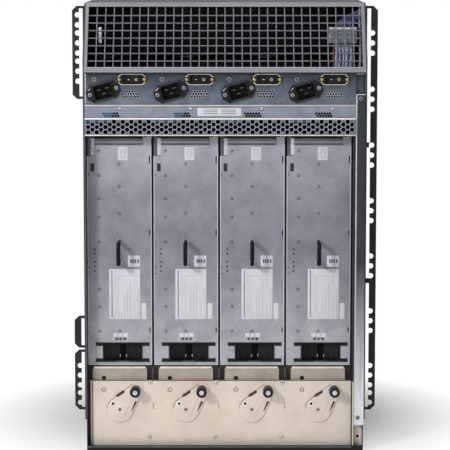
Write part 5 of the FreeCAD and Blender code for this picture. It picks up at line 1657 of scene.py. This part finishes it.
    def _knob(self) -> None:
        """Fluted knob and the bright head of the lock pin."""
        lean = math.radians(self.angle)
        spot = (self.reach * math.cos(lean), self.pivot_z + self.reach * math.sin(lean))
        pin = self.place(self.face, "black_plastic", spot, f"pin_body_{self.station}")
        end = self.knob_long
        profile = [(0, 1.0), (7.2, 1.0), (7.8, 1.8), (7.8, 8.0), (8.0, 12.0), (8.3, 15.0), (8.3, 18.0),
                   (8.3, end - 1.8), (8.0, end - 0.8), (7.2, end - 0.1), (6.6, end), (4.8, end),
                   (4.5, end - 0.6), (0, end - 0.6)]

        def waves(r: np.ndarray, h: np.ndarray, u: np.ndarray) -> np.ndarray:
            """Factor that draws the widest stretch in by a cosine round the turn."""
            grip = (h > 14.0) & (h < end - 1.0) & (r > 8.1)
            return np.where(grip, 1 - self.flute_deep * (1 + np.cos(self.flutes * u)), 1.0)

        pin.add("lock_knob", "knob", lathe(profile, 56, waves),
                replaces=[f"lock_pin_{self.station}"])
        head = lathe([(0, end - 0.8), (4.1, end - 0.8), (4.1, end + 0.5), (3.7, end + 1.1), (1.9, end + 1.2),
                      (1.5, end + 0.7), (0, end + 0.7)], 24)
        pin.add("lock_pin_head", "chrome", head, disc(self.pin_radius, *self.pin_ends, 20))

    def _bead(self) -> None:
        """Rolled bead along the top of the lock plate, its cream colour a painted highlight on the roll."""
        low, high = box_mm(f"lock_plate_{self.station}")
        y, z = low[1] + self.bead_sunk, high[2] - self.bead_drop
        bead = rod((low[0] + self.bead_inset, y, z), (high[0] - self.bead_inset, y, z), self.bead_radius, 16)
        piece(f"lock_plate_bead_{self.station}", bead, "cream", f"plate_body_{self.station}")


@dataclass
class IndexSeat(StationTrim):
    """Pressed seat in the hole that the lock pin finds at the lever's other end, and a ring of painted shade
    round it.
    """

    face: float = -263.0
    at: Pair = (-25.2, 96.7)
    radius: float = 3.9
    deep: float = 2.6
    line_tube: float = 0.4

    def build(self) -> None:
        """Make the seat and its ring of painted shade."""
        r = self.radius
        panel = self.place(self.face, "gold_plate", self.at)
        cup = lathe([(0, -self.deep), (r, -self.deep), (r, -0.05), (0.78 * r, -0.05), (0.7 * r, -0.6),
                     (0, -0.6)], 20)
        panel.add("index_seat", "gold", cup)
        line = hoop(circle(0.74 * r, 20), -0.2, circle(self.line_tube, 6))
        panel.add("index_shade_line", "inner", line)


@dataclass
class LeverPanel:
    """Screws, slots and edges of the lever panel, the corner strip's ring, and the trim of the channel."""

    panel: Face = Face(-263.0, "gold_plate")
    screws: Pairs = ((-118.1, 108.1), (-13.5, 108.1), (90.9, 108.1), (-119.7, 21.0), (-15.1, 21.0),
                     (89.7, 21.2))
    screw_size: float = 3.0
    screw_core: float = 1.25
    slots: Row = (-113.6, -10.0, 94.5)
    slot_z: float = 71.0
    slot_half: Pair = (0.8, 5.6)
    slot_stock: Stock = Stock(0.6, -0.05, 0.15, 0.08, 4, 2)
    margin_half: float = 4.0
    margin_at: float = 4.1
    margin_short: float = 0.1
    margin_stock: Stock = Stock(0.4, -0.2, 0.3, 0.15)
    fold_half: float = 1.2
    fold_at: float = 5.6
    fold_short: float = 0.3
    fold_stock: Stock = Stock(0.4, -0.2, 1.6, 0.4)
    line_half: float = 0.5
    line_drop: float = 0.6
    line_short: float = 0.2
    line_stock: Stock = Stock(0.3, -0.1, 0.3, 0.15)
    sill_z: float = 7.6
    sill_half: float = 1.1
    sill_stock: Stock = Stock(0.4, -0.2, 0.3, 0.2)
    gaps: Row = (-114.3, -9.7, 94.9)
    gap_z: float = 122.0
    fin_half: Pair = (0.8, 8.0)
    fin_stock: Stock = Stock(0.5, -0.2, 3.0, 0.4)
    ring_z: float = 22.2
    ring_radius: float = 3.5
    ring_bar: Triple = (0.5, 1.2, 0.4)
    channel: Face = Face(-285.0, "channel_metal")
    channel_screws: Pairs = ((210.4, 559.0), (209.0, 56.0))
    channel_screw_size: float = 2.9
    channel_screw_core: float = 1.2
    edge_half: float = 0.9
    edge_at: float = 1.0
    edge_short: float = 0.2
    edge_stock: Stock = Stock(0.6, -0.2, 0.4, 0.3)
    top_half: float = 0.8
    top_drop: float = 0.9
    top_stock: Stock = Stock(0.5, -0.2, 0.4, 0.3)
    cover_x: float = 210.2
    cover_half: float = 6.9
    cover_gap: float = 0.6
    cover_back: float = 8.0
    cover_stock: Stock = Stock(0.5, -1.0, 0.6, 0.3)
    cap_x: float = 210.0
    cap_half: Pair = (6.4, 0.8)
    cap_drop: float = 3.4
    cap_back: float = 7.6
    cap_stock: Stock = Stock(0.4, -0.3, 1.2, 0.3)
    post_at: Pair = (201.7, 57.6)
    post_half: Pair = (1.0, 54.0)
    post_stock: Stock = Stock(0.4, -0.1, 0.3, 0.2)

    def build(self) -> None:
        """Make the panel's details and the channel's."""
        dress_screws("lower_panel", self.panel, self.screws, self.screw_size, "fold", self.screw_core)
        slots = self.slot_stock.cut(*self.slot_half, *((x, self.slot_z) for x in self.slots))
        self.panel.add("lower_panel_slots", "plate", slots)
        self._frame()
        dress_screws("channel", self.channel, self.channel_screws, self.channel_screw_size, "dull",
                     self.channel_screw_core)
        low, high = box_mm("corner_strip")
        ring = hoop(circle(self.ring_radius, 24), 0.1, rounded(*self.ring_bar, 3))
        strip = Face(low[1], "zinc_sheet", at=((low[0] + high[0]) / 2, self.ring_z))
        strip.add("corner_ring", "mark", ring)
        fins = self.fin_stock.cut(*self.fin_half, *((x, self.gap_z) for x in self.gaps))
        Face(box_mm("lock_guide")[0][1], "gold_plate").add("gap_fins", "rivet", fins)
        self._channel_trim()

    def _frame(self) -> None:
        """Dark margin and folded gold edge at the left, dark line at the top and bright line on the sill."""
        low, high = box_mm("lower_panel")
        tall, wide = (high[2] - low[2]) / 2, (high[0] - low[0]) / 2
        x, z = low[0] + wide, low[2] + tall
        margin_spot = (low[0] + self.margin_at, z)
        margin = self.margin_stock.cut(self.margin_half, tall - self.margin_short, margin_spot)
        self.panel.add("left_margin", "bracket", margin)
        fold = self.fold_stock.cut(self.fold_half, tall - self.fold_short, (low[0] + self.fold_at, z))
        self.panel.add("left_fold", "gold", fold)
        line = self.line_stock.cut(wide - self.line_short, self.line_half, (x, high[2] - self.line_drop))
        self.panel.add("panel_top_line", "inner", line)
        sill = self.sill_stock.cut(wide, self.sill_half, (x, self.sill_z))
        Face(box_mm("chassis_wrap")[0][1], "shell_steel").add("sill_line", "rivet", sill)

    def _channel_trim(self) -> None:
        """Painted highlights on the left edge and top edge of the channel, the sheet above it and the post's
        warm edge.
        """
        low, high = box_mm("side_channel")
        tall, wide = (high[2] - low[2]) / 2, (high[0] - low[0]) / 2
        edge_spot = (low[0] + self.edge_at, low[2] + tall)
        edge = self.edge_stock.cut(self.edge_half, tall - self.edge_short, edge_spot)
        top_spot = ((low[0] + high[0]) / 2, high[2] - self.top_drop)
        top = self.top_stock.cut(wide - self.edge_short, self.top_half, top_spot)
        Face(low[1], "channel_metal").add("channel_edge_highlights", "edge", edge, top)
        panel_low, panel_high = box_mm("inlet_panel")
        rise = (panel_high[2] - high[2]) / 2 - self.cover_gap
        spot = (self.cover_x, high[2] + rise + self.cover_gap)
        cover = self.cover_stock.cut(self.cover_half, rise, spot)
        Face(panel_low[1] + self.cover_back, "zinc_sheet").add("corner_cover", "zinc", cover)
        cap = self.cap_stock.cut(*self.cap_half, (self.cap_x, panel_high[2] - self.cap_drop))
        Face(panel_low[1] + self.cap_back, "zinc_sheet").add("corner_cap", "edge", cap)
        post = self.post_stock.cut(*self.post_half, self.post_at)
        Face(panel_high[1], "gold_plate").add("post_edge", "gold", post)


@dataclass
class FrontFace:
    """Captive screws of the blank covers and fan trays, and the fan guards on top of the trays."""

    covers: int = 14
    pitch: float = 30.0
    face: Face = Face(277.0, "cover_paint", facing=Facing.FRONT)
    thumb: Pairs = ((0, -0.1), (3.6, -0.1), (3.6, 1.4), (3.4, 1.8), (1.8, 1.8), (1.5, 1.2), (0, 1.2))
    screw_rows: Pair = (119.0, 552.0)
    ejector_rows: Pair = (136.0, 535.0)
    ejector_half: Pair = (8.0, 3.2)
    ejector_stock: Stock = Stock(1.5, -0.1, 2.4, 0.8, 5)
    tray_face: float = 281.0
    trays: tuple[tuple[str, float], ...] = (("upper", 580.0), ("lower", 31.5))
    tray_screw_x: float = 200.0
    plenum_screw: Pair = (2.8, 1.2)
    plenum_columns: Row = (-205.0, 0.0, 205.0)
    plenum_rows: Pair = (610.0, 694.0)
    fan_columns: Row = (-138.0, 0.0, 138.0)
    fan_rows: Pair = (90.0, 218.0)
    fan_radius: float = 58.0
    guard_rings: Row = (22.0, 31.0, 40.0, 49.0, 58.0)
    guard_bar: Triple = (0.1, 1.1, 0.05)
    hub: Pairs = ((0, 0), (13.0, 0), (13.0, 0.14), (12.4, 0.2), (0, 0.2))
    arm_from: float = 12.0
    arm_half: float = 1.4
    arm_stock: Stock = Stock(0.5, 0.0, 0.18, 0.05, 3, 2)

    def build(self) -> None:
        """Make the front's details."""
        for name, _ in self.trays:
            self._guards(name)
        thumb = lathe(self.thumb, 20)
        across = (np.arange(self.covers) - (self.covers - 1) / 2) * self.pitch
        spots = [(x, z) for x in across for z in self.screw_rows]
        self.face.add("cover_screws", "chrome", thumb.spread(spots))
        spots = [(x, z) for x in across for z in self.ejector_rows]
        ejectors = self.ejector_stock.cut(*self.ejector_half, *spots)
        self.face.add("cover_ejectors", "black", ejectors, slot="black_plastic")
        for name, z in self.trays:
            tray = Face(self.tray_face, "tray_steel", f"{name}_tray", Facing.FRONT)
            screws = thumb.spread([(k * self.tray_screw_x, z) for k in (-1, 1)])
            tray.add(f"{name}_tray_screws", "chrome", screws)
        spots = [(x, z) for x in self.plenum_columns for z in self.plenum_rows]
        self.face.add("plenum_screws", "chrome", cross_head(*self.plenum_screw).spread(spots))

    def _guards(self, name: str) -> None:
        """Fan openings of one tray, with a hub, rings and four arms over each.

        Args:
            name: Name of the tray.
        """
        top = Face(box_mm(f"{name}_fan_tray")[1][2], "tray_steel", f"{name}_tray", Facing.TOP)
        spots = [(x, y) for x in self.fan_columns for y in self.fan_rows]
        top.add(f"{name}_fan_openings", "void", disc(self.fan_radius, -0.1, 0.06, 32).spread(spots))
        rings = [hoop(circle(r, 32), 0.1, rounded(*self.guard_bar, 2)) for r in self.guard_rings]
        half = (self.fan_radius - self.arm_from) / 2
        arm = self.arm_stock.cut(half, self.arm_half, (self.arm_from + half, 0))
        guard = join(lathe(self.hub, 24), *rings, *(arm.turned(45 + 90 * k) for k in range(4)))
        top.add(f"{name}_fan_guards", "rivet", guard.spread(spots))


@dataclass
class OuterSkin:
    """Flush screws along the side skins."""

    side: float = 220.5
    head: Pair = (3.0, 0.8)
    rows: Row = (70.0, 300.0, 520.0, 690.0)
    columns: Row = (-150.0, -20.0, 120.0, 262.0)

    def build(self) -> None:
        """Make the screws."""
        heads = cross_head(*self.head).spread([(y, z) for z in self.rows for y in self.columns])
        Face(-self.side, "skin_paint", facing=Facing.LEFT).add("left_skin_screws", "chrome", heads)
        Face(self.side, "skin_paint", facing=Facing.RIGHT).add("right_skin_screws", "chrome", heads)


def seen_rays(tree: bpy.types.NodeTree) -> bpy.types.NodeSocket:
    """One for rays of the camera, gloss and glass, which see the background.

    Args:
        tree: Node tree of the floor or the world.

    Returns:
        The socket.
    """
    path = add_node(tree, "ShaderNodeLightPath")
    first = add_node(tree, "ShaderNodeMath", {"operation": "MAXIMUM"},
                     {0: path.outputs["Is Camera Ray"], 1: path.outputs["Is Glossy Ray"]})
    both = add_node(tree, "ShaderNodeMath", {"operation": "MAXIMUM"},
                    {0: first.outputs[0], 1: path.outputs["Is Transmission Ray"]})
    return both.outputs[0]


@dataclass(frozen=True)
class Lamp:
    """Square area lamp: its name, place and side in metres, and power in watts."""

    name: str
    place: Triple
    size: float
    power: float


@dataclass
class Studio:
    """Camera, lamps, floor and surroundings; its lengths are metres, but the floor's own are millimetres."""

    aim: Triple = (0.0, -0.249, 0.3575)
    distance: float = 3.47
    pitch: float = 7.2
    lens: float = 176.24
    sensor: float = 36.0
    clip_end: float = 60.0
    lamps: tuple[Lamp, ...] = (
        Lamp("key_lamp", (-1.5, -2.5, 1.457), 0.4, 43.0),
        Lamp("fill_lamp", (-0.5, -3.5, 1.2), 1.8, 6.0),
        Lamp("top_lamp", (0.0, -0.9, 2.6), 1.4, 11.0))
    ambient: float = 0.36
    floor_near: float = 0.22
    floor_far: float = 0.43
    floor_half_mm: float = 6000.0
    floor_deep_mm: float = 20.0
    floor_points: int = 9

    def build(self) -> None:
        """Make the whole stage."""
        bpy.context.scene.view_settings.view_transform = "Standard"
        self._camera()
        for lamp in self.lamps:
            self._lamp(lamp)
        self._world()
        self._floor()

    def _camera(self) -> None:
        """Camera that looks down a little at the rear."""
        tilt = math.radians(self.pitch)
        camera = bpy.data.cameras.new("photo_camera")
        camera.lens = self.lens
        camera.sensor_width = self.sensor
        camera.sensor_fit = "HORIZONTAL"
        camera.clip_end = self.clip_end
        holder = bpy.data.objects.new("photo_camera", camera)
        holder.location = (self.aim[0], self.aim[1] - self.distance * math.cos(tilt),
                           self.aim[2] + self.distance * math.sin(tilt))
        holder.rotation_euler = (math.pi / 2 - tilt, 0.0, 0.0)
        bpy.context.scene.collection.objects.link(holder)
        bpy.context.scene.camera = holder

    def _lamp(self, lamp: Lamp) -> None:
        """Set up one lamp so that it points at the middle of the object.

        Args:
            lamp: The lamp.
        """
        light = bpy.data.lights.new(lamp.name, "AREA")
        light.size = lamp.size
        light.energy = lamp.power
        holder = bpy.data.objects.new(lamp.name, light)
        holder.location = lamp.place
        aim = np.array(self.aim) - np.array(lamp.place)
        flat = math.hypot(aim[0], aim[1])
        holder.rotation_euler = (math.pi / 2 + math.atan2(aim[2], flat), 0.0, math.atan2(-aim[0], aim[1]))
        bpy.context.scene.collection.objects.link(holder)

    def _world(self) -> None:
        """White surroundings for the eye, gloss and glass, and softer light for the rest."""
        world = bpy.data.worlds.new("studio")
        world.use_nodes = True
        tree = world.node_tree
        tree.nodes.clear()
        level = add_node(tree, "ShaderNodeMapRange", {3: self.ambient, 4: 1.0}, {0: seen_rays(tree)})
        sky = add_node(tree, "ShaderNodeBackground", {"Color": (1, 1, 1, 1)}, {"Strength": level.outputs[0]})
        add_node(tree, "ShaderNodeOutputWorld", None, {"Surface": sky.outputs[0]})
        bpy.context.scene.world = world

    def _floor(self) -> None:
        """Pale floor that keeps the object's shadow, and is white to the eye farther out."""
        count = self.floor_points
        reach = np.linspace(-self.floor_half_mm, self.floor_half_mm, count)
        top = np.zeros((count, count))
        skin = relief_block(reach, reach, top, top - self.floor_deep_mm)
        mesh = bpy.data.meshes.new("floor")
        faces = [row for block in skin.faces for row in block.tolist()]
        mesh.from_pydata((skin.points * MM).tolist(), [], faces)
        mesh.materials.append(self._floor_paint())
        floor = bpy.data.objects.new("floor", mesh)
        bpy.context.scene.collection.objects.link(floor)

    def _floor_paint(self) -> bpy.types.Material:
        """Pale floor paint, which turns into plain white for the rays that see the background.

        Returns:
            The material.
        """
        paint = Finish("pale_floor_paint", "fbfbfa", "f4f4f3", 400, 3.0, (0.6, 0.75)).make()
        tree = paint.node_tree
        out = next(node for node in tree.nodes if node.type == "OUTPUT_MATERIAL")
        shader = out.inputs["Surface"].links[0].from_socket
        place = add_node(tree, "ShaderNodeTexCoord").outputs["Object"]
        reach = add_node(tree, "ShaderNodeVectorMath", {"operation": "LENGTH"}, {0: place})
        far = add_node(tree, "ShaderNodeMapRange", {1: self.floor_near, 2: self.floor_far},
                       {0: reach.outputs["Value"]})
        seen = add_node(tree, "ShaderNodeMath", {"operation": "MULTIPLY"},
                        {0: far.outputs[0], 1: seen_rays(tree)})
        white = add_node(tree, "ShaderNodeEmission", {"Color": (1, 1, 1, 1), "Strength": 1.0})
        mixed = add_node(tree, "ShaderNodeMixShader", None,
                         {0: seen.outputs[0], 1: shader, 2: white.outputs[0]})
        tree.links.new(mixed.outputs[0], out.inputs["Surface"])
        return paint


def main() -> None:
    """Build every class in order."""
    logging.basicConfig(level=logging.INFO, format="%(name)s: %(message)s")
    Studio().build()
    NodeDress().dress()
    Hood().build()
    BandTrim().build()
    for station in range(1, STATIONS + 1):
        middle = box_mm(f"ps_case_{station}")[0][0] + SupplyFace.left
        for trim in (InletTrim, SupplyFace, LockLever, IndexSeat):
            trim(station, middle).build()
    LeverPanel().build()
    FrontFace().build()
    OuterSkin().build()


if __name__ == "__main__":
    main()
